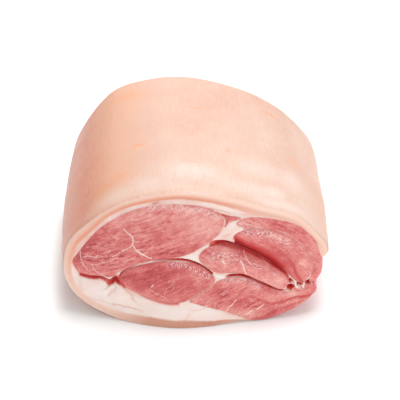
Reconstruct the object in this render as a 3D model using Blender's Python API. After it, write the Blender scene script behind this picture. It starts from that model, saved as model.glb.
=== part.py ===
"""A raw boneless joint of pork leg, lying as sold: rind over the top, the left side and underneath, and a cut
face at each end that shows seven muscles set in fat.

Metres, +Z up. X runs across the cut face, Y runs through the joint, and the front cut face looks towards -Y.

Everything is drawn once, on the front face, in millimetres (x, z). flesh_point() carries a spot of that face
through the joint as the outline changes from the front to the back, so muscles that don't meet on the front face
don't meet anywhere.
"""

import math

import bmesh
import bpy
import numpy as np
from mathutils import Vector
from mathutils.geometry import delaunay_2d_cdt

MM = 0.001

# The whole joint.
LENGTH = 162.0  # along Y, at the middle of the cut faces
CORE_HEIGHT = 53.0  # height of the spot that the outline's radii are measured from
HALF_WIDTH = 95.0
FRONT_LEAN = math.tan(math.radians(5.0))  # the front cut face leans back as it rises
FRONT_FALL = 14.0  # how far the sides of the front face fall back behind its middle
BACK_FALL = 8.0  # the same for the back face
BELLY = 2.4  # how far the sides swell between the two faces
FOOT = 6.5  # how far the bottom of the front face bulges forward, where the joint's weight presses it out
INSET = 0.35  # how far inside its drawn outline each muscle's surface lies
CLEARANCE = 0.4  # free space between a muscle and the fat around it

# Outline radii every 20 degrees, anticlockwise from +X, as seen from the front.
FRONT_RADII = (93, 83, 67.5, 60, 57.9, 59.5, 63.6, 70.9, 81, 95, 98, 80, 63.5, 57.3, 55.3, 60.5, 78.4, 94)
BACK_RADII = (94, 80.5, 68.5, 61.5, 59.5, 63, 70, 81.5, 88.5, 97.5, 104, 82, 63.5, 57.5, 55.5, 60.5, 78, 94)

# The rind covers this range of angles. Right of it the meat is bare.
RIND_START = -1.5
RIND_END = 308.0
RIND_SPACING = 7.0
LIP_ANGLE = 1.5
LIP_FLARE = 4.2  # round the lip's angle the rind's free edge stands out from the meat under it
LIP_SPREAD = 7.0  # degrees
RIM_ROUNDING = 4.5  # of the rind's edge round each cut face
SEAM_RECESS = 1.6  # the fat between the muscles lies this far below the rind's edge

# Where the fat ends under the bare muscles on the right: inside them, and in the open notch at (86.3, 27.4).
OPEN_SIDE = (
    (42.2, 1.2), (44, 4.5), (52, 8), (64, 12), (76, 17), (83, 22.5), (86.3, 27.4),
    (89, 34), (89.6, 42), (87.5, 49), (90, 50.3), (91.6, 49.9),
)

MUSCLES = {
    "muscle_upper_left": {
        "outline": (
            (-88.8, 46.6), (-84.8, 53.5), (-76, 66.3), (-66, 79), (-52, 90), (-37.5, 97), (-23.5, 101.2),
            (-7, 102.2), (9, 99.4), (18.2, 93.5), (20.8, 87), (16.5, 77.2), (4.5, 67), (-10, 59.5),
            (-27, 56.3), (-41, 50.8), (-54, 42.6), (-61.5, 38.3), (-75.5, 36), (-84.3, 37.3),
        ),
        "rounding": 2.0,
        "dome": 1.0,
        "color": (0.50, 0.13, 0.11),
    },
    "muscle_lower_left": {
        "outline": (
            (-55.7, 36), (-52.3, 41.5), (-42, 48.8), (-26.5, 53.6), (-11.5, 53.8), (-1, 51.1), (9, 43.8),
            (13.9, 39), (12, 34.2), (1.5, 26.5), (-4.5, 21.4), (-12, 18.4), (-21, 18.4), (-33.6, 21.6),
            (-46, 27.5), (-53, 32),
        ),
        "rounding": 2.0,
        "dome": 0.8,
        "color": (0.47, 0.10, 0.10),
    },
    "muscle_centre": {
        "outline": (
            (3.5, 57.4), (5.5, 63.3), (10.7, 66.8), (18.5, 66.9), (29.4, 61.7), (40.2, 55.4), (51.3, 47.8),
            (61, 40.2), (66.8, 35), (68.2, 30.8), (66, 26.4), (60.7, 25.2), (49.5, 31.2), (39.8, 37.6),
            (33.5, 42.3), (25.5, 44.2), (16.5, 44.8), (8, 50.8),
        ),
        "rounding": 2.0,
        "dome": 1.4,
        "color": (0.52, 0.15, 0.13),
    },
    "muscle_upper_right": {
        "outline": (
            (27.6, 73.4), (29.2, 78), (36, 80.8), (46, 79.9), (56, 76), (66.3, 71.2), (75.3, 62.4),
            (82.3, 52.2), (86.5, 44.1), (86, 39.3), (83, 33), (79.3, 28.9), (76.3, 29.8), (71.9, 33.4),
            (65.4, 38.1), (56.4, 44.7), (46.1, 52.5), (35.8, 59.5), (30, 66.3),
        ),
        "rounding": 2.0,
        "dome": 1.2,
        "color": (0.50, 0.12, 0.11),
    },
    "muscle_outer_right": {
        "outline": (
            (29.9, 87.2), (34.5, 90.2), (45, 89.7), (55, 86.8), (66.5, 82), (75.4, 75.3), (84, 64.4),
            (88.5, 53.8), (92, 44.5), (92.7, 36.5), (89.6, 30.3), (85, 28.6), (84.2, 31.5), (87.4, 39.8),
            (87.4, 45), (83.1, 53.2), (76.3, 63.2), (67.3, 72.6), (57, 77.3), (46.8, 81.2), (36.8, 82.6),
            (31, 84.6),
        ),
        "rounding": 1.5,
        "dome": 0.2,
        "color": (0.52, 0.14, 0.12),
    },
    "muscle_lower_right": {
        "outline": (
            (-3.3, 20.8), (4.4, 27), (12.7, 33.6), (17.5, 37.6), (23.9, 39.9), (30.5, 40.3), (36.2, 38.5),
            (43.6, 33.7), (52.6, 27.6), (58.5, 24.2), (66, 22.6), (75.5, 21.3), (80.8, 22.2), (84.8, 26.3),
            (88.5, 26.2), (90.5, 20.6), (87, 15), (78.3, 8.6), (67, 3.7), (56, 0.9), (48, 0.6), (41, 1.4),
            (34, 4.1), (22, 10), (10, 14.2), (1, 17.7),
        ),
        "rounding": 2.0,
        "dome": 1.0,
        "color": (0.48, 0.11, 0.11),
    },
    "muscle_wedge": {
        "outline": (
            (19.9, 94.6), (20.8, 95.4), (24, 94.5), (27.2, 93.4), (27.5, 92.4), (25.8, 89.9), (24.5, 87.9),
            (23.4, 87.8), (21.5, 91.2),
        ),
        "rounding": 1.0,
        "dome": 0.0,
        "color": (0.36, 0.07, 0.07),
    },
}

# Open seams, where neighbouring muscles have parted at the cut: half width and depth of the cleft in the fat, and
# a line of x, z and depth in the meat.
CREVICES = {
    "upper": (
        4.0,
        9.5,
        (
            (13.5, 68.6, 3.0), (22, 66.3, 7), (27.5, 63.6, 8.5), (35, 59.1, 9.2), (43.1, 53.6, 9.4), (52, 47.5, 9.4),
            (60.6, 41, 9), (68.8, 34.4, 4.5),
        ),
    ),
    "middle": (
        1.5, 4.5, ((-19, 54.8, 2), (-11, 54.9, 3.4), (-4.5, 53.7, 3.8), (2, 50.4, 4.4), (7.5, 46.3, 4.6), (15, 42, 1.5)),
    ),
    "lower": (
        1.6, 5.0, ((22, 41.6, 2.2), (31, 41.4, 4.2), (36.5, 39.9, 4.6), (44, 34.7, 4.8), (60, 24.6, 4.4), (68, 24.6, 2)),
    ),
    "pit": (1.8, 6.0, ((-62.5, 31.8, 1.5), (-57.5, 35.6, 6), (-53, 31.3, 1.2))),
    "torn": (1.5, 5.0, ((70, 29.8, 2), (75.5, 27.6, 2), (82.5, 27.6, 2))),
}
# How a muscle's face falls away towards a seam: the reach, and whether it's a slope rather than a rounded edge.
FALLS = {
    ("muscle_upper_right", "upper"): (16.0, True),
    ("muscle_centre", "upper"): (7.5, False),
    ("muscle_centre", "middle"): (3.8, False),
    ("muscle_lower_left", "middle"): (5.2, False),
    ("muscle_centre", "lower"): (4.0, False),
    ("muscle_lower_right", "lower"): (5.5, False),
    ("muscle_lower_left", "pit"): (6.0, False),
}
SIDE_STATIONS = (0.2, 0.4, 0.6, 0.8)
FAT_COLOR = (0.84, 0.58, 0.44)


def smooth_loop(points, steps):
    """A closed Catmull-Rom curve through the points, with this many steps from one to the next."""
    points = np.array(points, float)
    before = np.roll(points, 1, axis=0)
    after = np.roll(points, -1, axis=0)
    beyond = np.roll(points, -2, axis=0)
    rows = []
    for step in range(steps):
        u = step / steps
        rows.append(
            0.5
            * (
                2 * points
                + (after - before) * u
                + (2 * before - 5 * points + 4 * after - beyond) * u**2
                + (3 * points - before - 3 * after + beyond) * u**3
            )
        )
    return np.stack(rows, axis=1).reshape(-1, points.shape[1])


def smooth_line(points, steps):
    """An open smooth curve through the points, ends included."""
    first = 2 * np.array(points[0], float) - np.array(points[1], float)
    last = 2 * np.array(points[-1], float) - np.array(points[-2], float)
    loop = smooth_loop([first, *points, last], steps)
    return loop[steps : steps * len(points) + 1]


RADIUS_STEPS = 18
FRONT_CURVE = smooth_loop([(radius,) for radius in FRONT_RADII], RADIUS_STEPS)[:, 0]
BACK_CURVE = smooth_loop([(radius,) for radius in BACK_RADII], RADIUS_STEPS)[:, 0]
CURVE_ANGLES = np.arange(len(FRONT_CURVE) + 1) * 2 * np.pi / len(FRONT_CURVE)


def radius_on(curve, angle):
    return np.interp(np.mod(angle, 2 * np.pi), CURVE_ANGLES, np.append(curve, curve[0]))


def outline_radius(angle, t):
    """The outline's radius at this angle, t of the way from the front face to the back one."""
    front = radius_on(FRONT_CURVE, angle)
    back = radius_on(BACK_CURVE, angle)
    return front + (back - front) * t + BELLY * 4 * t * (1 - t)


def flesh_point(flat, t):
    """Where the spot (x, z) of the front face lies, t of the way to the back face. t may pass 0 and 1 a little."""
    flat = np.asarray(flat, float)
    x = flat[:, 0]
    z = flat[:, 1] - CORE_HEIGHT
    angle = np.arctan2(z, x)
    reach = np.hypot(x, z) / radius_on(FRONT_CURVE, angle)
    scale = outline_radius(angle, t) / radius_on(FRONT_CURVE, angle)
    x = x * scale
    z = CORE_HEIGHT + z * scale
    sideways = (x / HALF_WIDTH) ** 2
    foot = FOOT * np.exp(-((z / 15) ** 2) - ((x + 14) / 34) ** 2)
    front = -LENGTH / 2 + FRONT_LEAN * z + FRONT_FALL * sideways - foot
    back = LENGTH / 2 - BACK_FALL * sideways
    lip = LIP_FLARE * np.exp(-(((np.degrees(angle) - LIP_ANGLE) / LIP_SPREAD) ** 2))
    lip = lip * np.clip((reach - 0.93) / 0.07, 0, 1) * np.clip(1 - 0.8 * t, 0, 1)
    return np.stack([x + lip, front + (back - front) * t, z], axis=1)


def edge_distance(points, loop):
    """Each point's distance from the closed line through the loop's points."""
    points = np.asarray(points, float)[:, None, :]
    start = loop[None]
    along = np.roll(loop, -1, axis=0)[None] - start
    share = ((points - start) * along).sum(-1) / (along**2).sum(-1)
    nearest = start + np.clip(share, 0, 1)[..., None] * along
    return np.sqrt(((points - nearest) ** 2).sum(-1)).min(axis=1)


def inside(points, loop):
    """Which of the points lie inside the closed loop."""
    points = np.asarray(points, float)
    x = points[:, None, 0]
    z = points[:, None, 1]
    start = loop[None]
    end = np.roll(loop, -1, axis=0)[None]
    spans = (start[..., 1] > z) != (end[..., 1] > z)
    rise = np.where(spans, end[..., 1] - start[..., 1], 1.0)
    crossing = start[..., 0] + (z - start[..., 1]) / rise * (end[..., 0] - start[..., 0])
    return (spans & (x < crossing)).sum(axis=1) % 2 == 1


def outward(loop):
    """Unit normals of an outline, pointing out of it."""
    along = np.roll(loop, -1, axis=0) - np.roll(loop, 1, axis=0)
    normal = np.stack([along[:, 1], -along[:, 0]], axis=1)
    normal /= np.linalg.norm(normal, axis=1)[:, None]
    x, z = loop[:, 0], loop[:, 1]
    area = (x * np.roll(z, -1) - np.roll(x, -1) * z).sum()
    return normal if area > 0 else -normal


def face_points(loop, rings, spacing):
    """Points to lay a cut face over: the outline, rings a little way in from it, and a triangular grid inside."""
    kept = [loop]
    normal = outward(loop)
    for ring in rings:
        moved = loop - normal * ring
        clear = inside(moved, loop) & (edge_distance(moved, loop) > 0.93 * ring)
        kept.append(moved[clear])
    low = loop.min(axis=0)
    high = loop.max(axis=0)
    grid = []
    for row, z in enumerate(np.arange(low[1], high[1], spacing * 0.87)):
        for x in np.arange(low[0] + spacing / 2 * (row % 2), high[0], spacing):
            grid.append((x, z))
    grid = np.array(grid)
    grid = grid[inside(grid, loop)]
    first = max(rings) + 0.45 * spacing if rings else 0.6 * spacing
    kept.append(grid[edge_distance(grid, loop) > first])
    return np.concatenate(kept)


def triangles(points, edge_count):
    """Triangles over the points, inside the closed line through the first edge_count of them."""
    flat = [Vector((float(x), float(z))) for x, z in points]
    result = delaunay_2d_cdt(flat, [], [list(range(edge_count))], 1, 1e-6)
    if len(result[0]) != len(points):
        raise ValueError("the face's points run into one another")
    sources = [source[0] for source in result[3]]
    return [tuple(sources[corner] for corner in face) for face in result[2]]


def rim_fall(distance, rounding):
    """How far a rounded edge has dropped at this distance in from it."""
    short = np.clip(rounding - distance, 0, rounding)
    return rounding - np.sqrt(rounding**2 - short**2)


def add_object(name, points, faces, collection):
    mesh = bpy.data.meshes.new(name)
    mesh.from_pydata([tuple(point) for point in np.asarray(points) * MM], [], faces)
    shell = bmesh.new()
    shell.from_mesh(mesh)
    bmesh.ops.recalc_face_normals(shell, faces=shell.faces)
    shell.to_mesh(mesh)
    shell.free()
    obj = bpy.data.objects.new(name, mesh)
    collection.objects.link(obj)
    return obj


def loft(name, loop, stations, face_flat, face_relief, place, collection):
    """A solid that follows the outline through the joint and is closed by a cut face at each end.

    face_flat starts with the outline's own points. face_relief is how far each point stands out of its cut face.
    """
    count = len(loop)
    face = triangles(face_flat, count)
    depth = face_relief / LENGTH
    front = place(face_flat, -depth)
    back = place(face_flat, 1 + depth)
    middle = [place(loop, station) for station in stations]
    points = np.concatenate([front, back, *middle])
    faces = [corners for corners in face]
    faces += [tuple(corner + len(front) for corner in reversed(corners)) for corners in face]
    rows = [0]
    rows += [2 * len(front) + count * index for index in range(len(middle))]
    rows.append(len(front))
    for near, far in zip(rows, rows[1:]):
        for index in range(count):
            after = (index + 1) % count
            faces.append((near + index, far + index, far + after, near + after))
    return add_object(name, points, faces, collection)


def above_table(flat, t):
    """flesh_point, flattened where it would pass below the table."""
    points = flesh_point(flat, t)
    points[:, 2] = np.maximum(points[:, 2], 0)
    return points


def fat_outline():
    """The edge of the rind, evenly spaced, then back under the bare muscles."""
    angles = np.radians(np.linspace(RIND_START, RIND_END, 1200))
    radius = radius_on(FRONT_CURVE, angles)
    line = np.stack([radius * np.cos(angles), CORE_HEIGHT + radius * np.sin(angles)], axis=1)
    run = np.concatenate([[0], np.cumsum(np.linalg.norm(np.diff(line, axis=0), axis=1))])
    marks = np.linspace(0, run[-1], round(run[-1] / RIND_SPACING) + 1)
    rind = np.stack([np.interp(marks, run, line[:, 0]), np.interp(marks, run, line[:, 1])], axis=1)
    return np.concatenate([rind, np.array(OPEN_SIDE, float)])


def seam_at(points, line):
    """Each point's distance from a seam's line, and the seam's depth at the nearest spot of it."""
    line = smooth_line(line, 4)
    start = line[:-1]
    along = line[1:, :2] - start[:, :2]
    off = points[:, None, :] - start[None, :, :2]
    share = np.clip((off * along).sum(-1) / (along**2).sum(-1), 0, 1)
    distance = np.linalg.norm(off - share[..., None] * along, axis=-1)
    nearest = distance.argmin(axis=1)
    rows = np.arange(len(points))
    depth = line[nearest, 2] + (line[nearest + 1, 2] - line[nearest, 2]) * share[rows, nearest]
    return distance[rows, nearest], depth


def muscle_relief(name, flat, distance):
    """How far each point of a muscle's cut end stands out: domed, rounded at its edge, and lower by an open seam."""
    fall = rim_fall(distance, MUSCLES[name]["rounding"])
    for (muscle, seam), (reach, slope) in FALLS.items():
        if muscle != name:
            continue
        off, depth = seam_at(flat, CREVICES[seam][2])
        near = np.clip(1 - off / reach, 0, 1)
        fall = np.hypot(fall, depth * (near**1.7 if slope else 1 - np.sqrt(1 - near**2)))
    return MUSCLES[name]["dome"] * (1 - np.exp(-distance / 8)) - fall


def crevice_outline(line, half_width):
    """A blade round a seam's centre line, narrower at its ends."""
    line = smooth_line(line, 2)[:, :2]
    along = np.gradient(line, axis=0)
    side = np.stack([along[:, 1], -along[:, 0]], axis=1)
    side /= np.linalg.norm(side, axis=1)[:, None]
    share = np.linspace(-1, 1, len(line))
    width = half_width * (1 - 0.6 * share**4)
    return np.concatenate([line + side * width[:, None], (line - side * width[:, None])[::-1]])


def add_material(obj, color, roughness):
    material = bpy.data.materials.new(obj.name)
    material.use_nodes = True
    shader = material.node_tree.nodes["Principled BSDF"]
    shader.inputs["Base Color"].default_value = (*color, 1.0)
    shader.inputs["Roughness"].default_value = roughness
    obj.data.materials.append(material)


def build():
    for old in list(bpy.data.objects):
        bpy.data.objects.remove(old, do_unlink=True)
    scene = bpy.context.scene.collection
    joint = bpy.data.collections.new("pork_leg_joint")
    cutters = bpy.data.collections.new("cutters")
    scene.children.link(joint)
    scene.children.link(cutters)
    cutters.hide_render = True

    nodes = []
    for name, muscle in MUSCLES.items():
        drawn = smooth_loop(muscle["outline"], 2)
        loop = drawn - outward(drawn) * INSET
        rounding = muscle["rounding"]
        flat = face_points(loop, (0.3 * rounding, rounding), 8.0)
        relief = muscle_relief(name, flat, edge_distance(flat, loop))
        obj = loft(name, loop, SIDE_STATIONS, flat, relief, above_table, joint)
        add_material(obj, muscle["color"], 0.35)
        nodes.append(obj)

        grown = loop + outward(loop) * CLEARANCE
        relief = np.full(len(grown), 14.0)
        loft("around_" + name, grown, (0.0, *SIDE_STATIONS, 1.0), grown, relief, flesh_point, cutters)

    for seam, (half_width, depth, line) in CREVICES.items():
        blade = crevice_outline(line, half_width)
        count = len(blade)
        face = triangles(blade, count)
        for end, sign in (("front", 1), ("back", -1)):
            base = 0 if sign > 0 else 1
            outer = flesh_point(blade, base - sign * 10 / LENGTH)
            inner = flesh_point(blade, base + sign * depth / LENGTH)
            faces = [corners for corners in face]
            faces += [tuple(corner + count for corner in reversed(corners)) for corners in face]
            faces += [(i, count + i, count + (i + 1) % count, (i + 1) % count) for i in range(count)]
            add_object(f"crevice_{seam}_{end}", np.concatenate([outer, inner]), faces, cutters)

    outline = fat_outline()
    flat = face_points(outline, (0.3 * RIM_ROUNDING, RIM_ROUNDING), 11.0)
    distance = edge_distance(flat, outline)
    recess = SEAM_RECESS * np.clip((distance - 8) / 8, 0, 1)
    relief = -rim_fall(distance, RIM_ROUNDING) - recess
    fat = loft("rind_fat", outline, SIDE_STATIONS, flat, relief, above_table, joint)
    add_material(fat, FAT_COLOR, 0.45)
    nodes.append(fat)

    for cutter in cutters.objects:
        cutter.display_type = "WIRE"
        cutter.hide_render = True
    cut = fat.modifiers.new("muscles", "BOOLEAN")
    cut.operation = "DIFFERENCE"
    cut.operand_type = "COLLECTION"
    cut.collection = cutters
    cut.solver = "EXACT"

    # The joint's box is centred on the origin in plan. It already stands on z = 0.
    corners = np.concatenate([np.array([vertex.co for vertex in obj.data.vertices]) for obj in nodes])
    middle = (corners.min(axis=0) + corners.max(axis=0)) / 2
    for obj in [*nodes, *cutters.objects]:
        obj.location = (-middle[0], -middle[1], 0.0)


build()
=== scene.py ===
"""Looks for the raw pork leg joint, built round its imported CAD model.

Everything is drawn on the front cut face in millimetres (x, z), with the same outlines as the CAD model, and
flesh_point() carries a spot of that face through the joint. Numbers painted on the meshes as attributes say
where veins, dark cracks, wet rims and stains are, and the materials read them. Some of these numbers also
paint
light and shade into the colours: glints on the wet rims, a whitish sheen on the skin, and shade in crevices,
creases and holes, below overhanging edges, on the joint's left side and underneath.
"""

import math
from dataclasses import dataclass

import bmesh
import bpy
import numpy as np
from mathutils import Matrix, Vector
from mathutils.geometry import delaunay_2d_cdt


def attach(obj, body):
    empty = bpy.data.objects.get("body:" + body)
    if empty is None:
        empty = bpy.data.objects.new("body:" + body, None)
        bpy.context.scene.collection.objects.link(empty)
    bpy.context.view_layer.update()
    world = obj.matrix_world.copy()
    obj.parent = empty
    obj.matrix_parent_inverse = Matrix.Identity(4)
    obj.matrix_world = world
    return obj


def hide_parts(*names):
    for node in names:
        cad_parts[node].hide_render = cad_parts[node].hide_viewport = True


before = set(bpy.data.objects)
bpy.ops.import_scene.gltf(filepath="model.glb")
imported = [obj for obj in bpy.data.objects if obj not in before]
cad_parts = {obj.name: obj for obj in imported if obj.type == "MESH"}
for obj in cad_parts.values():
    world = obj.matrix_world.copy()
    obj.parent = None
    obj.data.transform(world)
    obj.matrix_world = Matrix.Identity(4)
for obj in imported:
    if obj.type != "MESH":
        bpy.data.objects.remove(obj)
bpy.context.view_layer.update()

MM = 0.001

# The joint's size and outline, as the CAD model has them.
DRAWN_MIDDLE = (-1.70, -2.62)  # the CAD model is centred on the origin; the drawing isn't
LENGTH = 162.0
CORE_HEIGHT = 53.0
HALF_WIDTH = 95.0
FRONT_LEAN = math.tan(math.radians(5.0))
FRONT_FALL = 14.0  # how far the sides of the front face stand back from its middle
BACK_FALL = 8.0
BELLY = 2.4
FOOT = 5.4  # how far the bottom of the cut face bulges forward
FRONT_RADII = (93, 83, 67.5, 60, 57.9, 59.5, 63.6, 70.9, 81, 95, 98, 80, 63.5, 57.3, 55.3, 60.5, 78.4, 94)
BACK_RADII = (94, 80.5, 68.5, 61.5, 59.5, 63, 70, 81.5, 88.5, 97.5, 104, 82, 63.5, 57.5, 55.5, 60.5, 78, 94)
RADIUS_STEPS = 18
RIND_START = -1.5  # degrees, anticlockwise from the right
RIND_END = 308.0
LIP_ANGLE = 1.5  # the rind ends in a lip that stands out here
LIP_FLARE = 4.2
LIP_SPREAD = 7.0
RIM_ROUNDING = 4.5
MUSCLE_ROUNDING = 0.12
SEAM_RECESS = 0.1

# Fineness of the meshes.
FACE_SPACING = 0.68
EDGE_SPACING = 1.0
SKIN_STEP = 1.5
SIDE_ROW_COUNT = 92
HIDDEN_ROW_COUNT = 12
MUSCLE_RINGS = ((0.08, 0.26, 0.55, 0.95))
RIM_RINGS = ((0.08, 0.28, 0.6, 1.05, 1.6, 2.3, 3.0, 3.75, 4.4, 5.2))
HOLE_RINGS = (0.3, 0.75)
CHUNK = 4000  # points worked on at a time, which saves memory
FIT_GAP = 0.03  # between a muscle and the fat round it
LINE_REACH = 2.0  # over this distance the painted number of a thread or crease falls from 1 to 0


# ---------------------------------------------------------------- curves, distances, noise


def smooth_loop(points, steps):
    """A closed Catmull-Rom curve through the points."""
    points = np.array(points, float)
    before = np.roll(points, 1, axis=0)
    after = np.roll(points, -1, axis=0)
    beyond = np.roll(points, -2, axis=0)
    rows = []
    for step in range(steps):
        u = step / steps
        square = (2 * before - 5 * points + 4 * after - beyond) * u**2
        cube = (3 * points - before - 3 * after + beyond) * u**3
        rows.append(0.5 * (2 * points + (after - before) * u + square + cube))
    return np.stack(rows, axis=1).reshape(-1, points.shape[1])


def smooth_line(points, steps):
    """An open smooth curve through the points, ends included."""
    first = 2 * np.array(points[0], float) - np.array(points[1], float)
    last = 2 * np.array(points[-1], float) - np.array(points[-2], float)
    loop = smooth_loop([first, *points, last], steps)
    return loop[steps : steps * len(points) + 1]


def evenly(line, spacing, closed=False):
    """The line's points, spaced evenly along it."""
    if closed:
        line = np.concatenate([line, line[:1]])
    run = np.concatenate([[0], np.cumsum(np.linalg.norm(np.diff(line, axis=0), axis=1))])
    marks = np.linspace(0, run[-1], max(4, round(run[-1] / spacing)) + 1)
    points = np.stack([np.interp(marks, run, line[:, axis]) for axis in range(line.shape[1])], axis=1)
    return points[:-1] if closed else points


def in_chunks(points, work):
    """What work gives for the points, some at a time."""
    starts = range(0, max(len(points), 1), CHUNK)
    return np.concatenate([work(points[first : first + CHUNK]) for first in starts])


def line_distance(points, line, closed=False):
    """Each point's distance from the line."""
    start = line if closed else line[:-1]
    end = np.roll(line, -1, axis=0) if closed else line[1:]
    along = (end - start)[None]
    length = np.maximum((along**2).sum(-1), 1e-9)

    def distance(part):
        part = part[:, None, :] - start[None]
        share = np.clip((part * along).sum(-1) / length, 0, 1)
        off = part - share[..., None] * along
        return np.sqrt((off**2).sum(-1).min(axis=1))

    return in_chunks(points, distance)


def point_gap(points, others):
    """Each point's distance from the nearest of the others."""
    return in_chunks(points, lambda part: np.sqrt(((part[:, None] - others[None]) ** 2).sum(-1).min(axis=1)))


def inside(points, loop):
    """Which of the points lie inside the closed loop."""
    start_x, start_z = loop.T
    end_x, end_z = np.roll(loop, -1, axis=0).T

    def odd_crossings(part):
        x = part[:, None, 0]
        z = part[:, None, 1]
        spans = (start_z > z) != (end_z > z)
        rise = np.where(spans, end_z - start_z, 1.0)
        crossing = start_x + (z - start_z) / rise * (end_x - start_x)
        return (spans & (x < crossing)).sum(axis=1) % 2 == 1

    return in_chunks(points, odd_crossings)


def outward(loop):
    """Unit normals of an outline, pointing out of it."""
    along = np.roll(loop, -1, axis=0) - np.roll(loop, 1, axis=0)
    normal = np.stack([along[:, 1], -along[:, 0]], axis=1)
    normal /= np.linalg.norm(normal, axis=1)[:, None]
    x, z = loop.T
    area = (x * np.roll(z, -1) - np.roll(x, -1) * z).sum()
    return normal if area > 0 else -normal


def value_noise(points, seed):
    """Smooth noise, -1 to 1, whose grain is one unit wide."""
    cell = np.floor(points).astype(np.int64)
    share = points - cell
    share = share * share * (3 - 2 * share)
    total = np.zeros(len(points))
    for corner in range(8):
        offset = np.array([corner & 1, corner >> 1 & 1, corner >> 2])
        key = (cell + offset) @ np.array([73856093, 19349663, 83492791]) + seed * 26544357
        key = (key ^ (key >> 13)) * 1274126177
        key = (key ^ (key >> 16)) & 0xFFFF
        weight = np.where(offset == 1, share, 1 - share).prod(axis=1)
        total += weight * (key / 32767.5 - 1)
    return total


def rough_noise(points, seed, octaves):
    """Several layers of noise, each half as large and half as strong as the one before."""
    total = np.zeros(len(points))
    for octave in range(octaves):
        total += 0.5**octave * value_noise(points * 2**octave, seed + 31 * octave)
    return total / 1.5


def turned(off_x, off_z, degrees):
    """How far along and across a direction, given in degrees, the offsets reach."""
    turn = math.radians(degrees)
    along = off_x * math.cos(turn) + off_z * math.sin(turn)
    across = -off_x * math.sin(turn) + off_z * math.cos(turn)
    return along, across


def flat_noise(flat, grain_x, grain_z, angle, seed, octaves=2):
    """Noise on a cut face, stretched along a direction given in degrees."""
    along, across = turned(flat[:, 0], flat[:, 1], angle)
    points = np.stack([along / grain_x, across / grain_z, np.full(len(flat), 0.37 * seed)], axis=1)
    return rough_noise(points, seed, octaves)


def wander(flat, grain, seed):
    """A small shift of every spot, -1 to 1 in x and in z."""
    return np.stack([flat_noise(flat, grain, grain, 0, seed + axis) for axis in range(2)], axis=1)


def loose_line(line):
    """A thread, crack or crease: a smooth line with small kinks."""
    even = evenly(smooth_line(line, 6), 0.55)
    return even + 0.3 * wander(even, 1.8, 3)


def ease(value):
    """0 below 0, 1 above 1, smooth between."""
    value = np.clip(value, 0, 1)
    return value * value * (3 - 2 * value)


def bell(off, width, power=2):
    """1 in the middle, falling to nothing over the width. A higher power gives steeper sides."""
    return np.exp(-((off / width) ** power))


def ellipse_field(flat, x, z, radius_along, radius_across, angle):
    """1 in the middle of an ellipse, falling to nothing over its radii."""
    along, across = turned(flat[:, 0] - x, flat[:, 1] - z, angle)
    return np.exp(-((along / radius_along) ** 2 + (across / radius_across) ** 2))


def line_field(flat, line, width):
    """1 on the line, falling to nothing over its width."""
    return bell(line_distance(flat, loose_line(line)), width)


def strongest(flat, fields):
    """The largest of the fields at each spot, and at least 0."""
    return np.max([np.zeros(len(flat)), *fields], axis=0)


# ---------------------------------------------------------------- the joint's space

FRONT_CURVE = smooth_loop([(radius,) for radius in FRONT_RADII], RADIUS_STEPS)[:, 0]
BACK_CURVE = smooth_loop([(radius,) for radius in BACK_RADII], RADIUS_STEPS)[:, 0]
CURVE_ANGLES = np.arange(len(FRONT_CURVE) + 1) * 2 * np.pi / len(FRONT_CURVE)


def radius_on(curve, angle):
    return np.interp(np.mod(angle, 2 * np.pi), CURVE_ANGLES, np.append(curve, curve[0]))


def flesh_point(flat, t):
    """Where the spot (x, z) of the front face lies, t of the way to the back, with the joint's soft lumps."""
    x = flat[:, 0]
    z = flat[:, 1] - CORE_HEIGHT
    angle = np.arctan2(z, x)
    front_radius = radius_on(FRONT_CURVE, angle)
    radius = front_radius + (radius_on(BACK_CURVE, angle) - front_radius) * t + BELLY * 4 * t * (1 - t)
    reach = np.hypot(x, z) / front_radius
    place = np.stack([np.cos(angle) * radius, t * LENGTH, np.sin(angle) * radius], axis=1)
    lumps = 0.7 * value_noise(place / 34, 5) + 0.25 * value_noise(place / 13, 6)
    scale = (radius + lumps * ease((reach - 0.75) / 0.25)) / front_radius
    x = x * scale
    z = CORE_HEIGHT + z * scale
    sideways = (x / HALF_WIDTH) ** 2
    foot = FOOT * bell(z, 15) * bell(x + 14, 38)
    front = -LENGTH / 2 + FRONT_LEAN * z + FRONT_FALL * sideways - foot
    back = LENGTH / 2 - BACK_FALL * sideways
    lip = LIP_FLARE * bell(np.degrees(angle) - LIP_ANGLE, LIP_SPREAD)
    lip = lip * np.clip((reach - 0.93) / 0.07, 0, 1) * np.clip(1 - 0.8 * t, 0, 1)
    return np.stack([x + lip, front + (back - front) * t, np.maximum(z, 0)], axis=1)


def rim_fall(distance, rounding):
    """How far a rounded edge has dropped at this distance in from it."""
    short = np.clip(rounding - distance, 0, rounding)
    return rounding - np.sqrt(np.maximum(rounding**2 - short**2, 0))


# ---------------------------------------------------------------- what the cut face shows


@dataclass
class Muscle:
    """A muscle on the cut face. Its tables hold, row by row:

    veins, white threads of fat: half width, line;
    cracks, dark: width, strength, line;
    patches, paler or darker, a few of them painted highlight along a rim or painted shade below a crevice:
    x, z, radius along and across, angle, how pale;
    marbling, where fine threads show: x, z, radius along and across, angle, strength;
    wet, rims that glisten, whose glints are also painted into the colour as pale specks: width, strength,
    line.
    """

    outline: tuple
    grain: float  # degrees
    dome: float  # how far its middle stands proud of its edge
    dashes: float  # how streaky it is
    tone: float  # how pale it is
    veins: tuple = ()
    cracks: tuple = ()
    patches: tuple = ()
    marbling: tuple = ()
    wet_and_glint: tuple = ()


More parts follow.
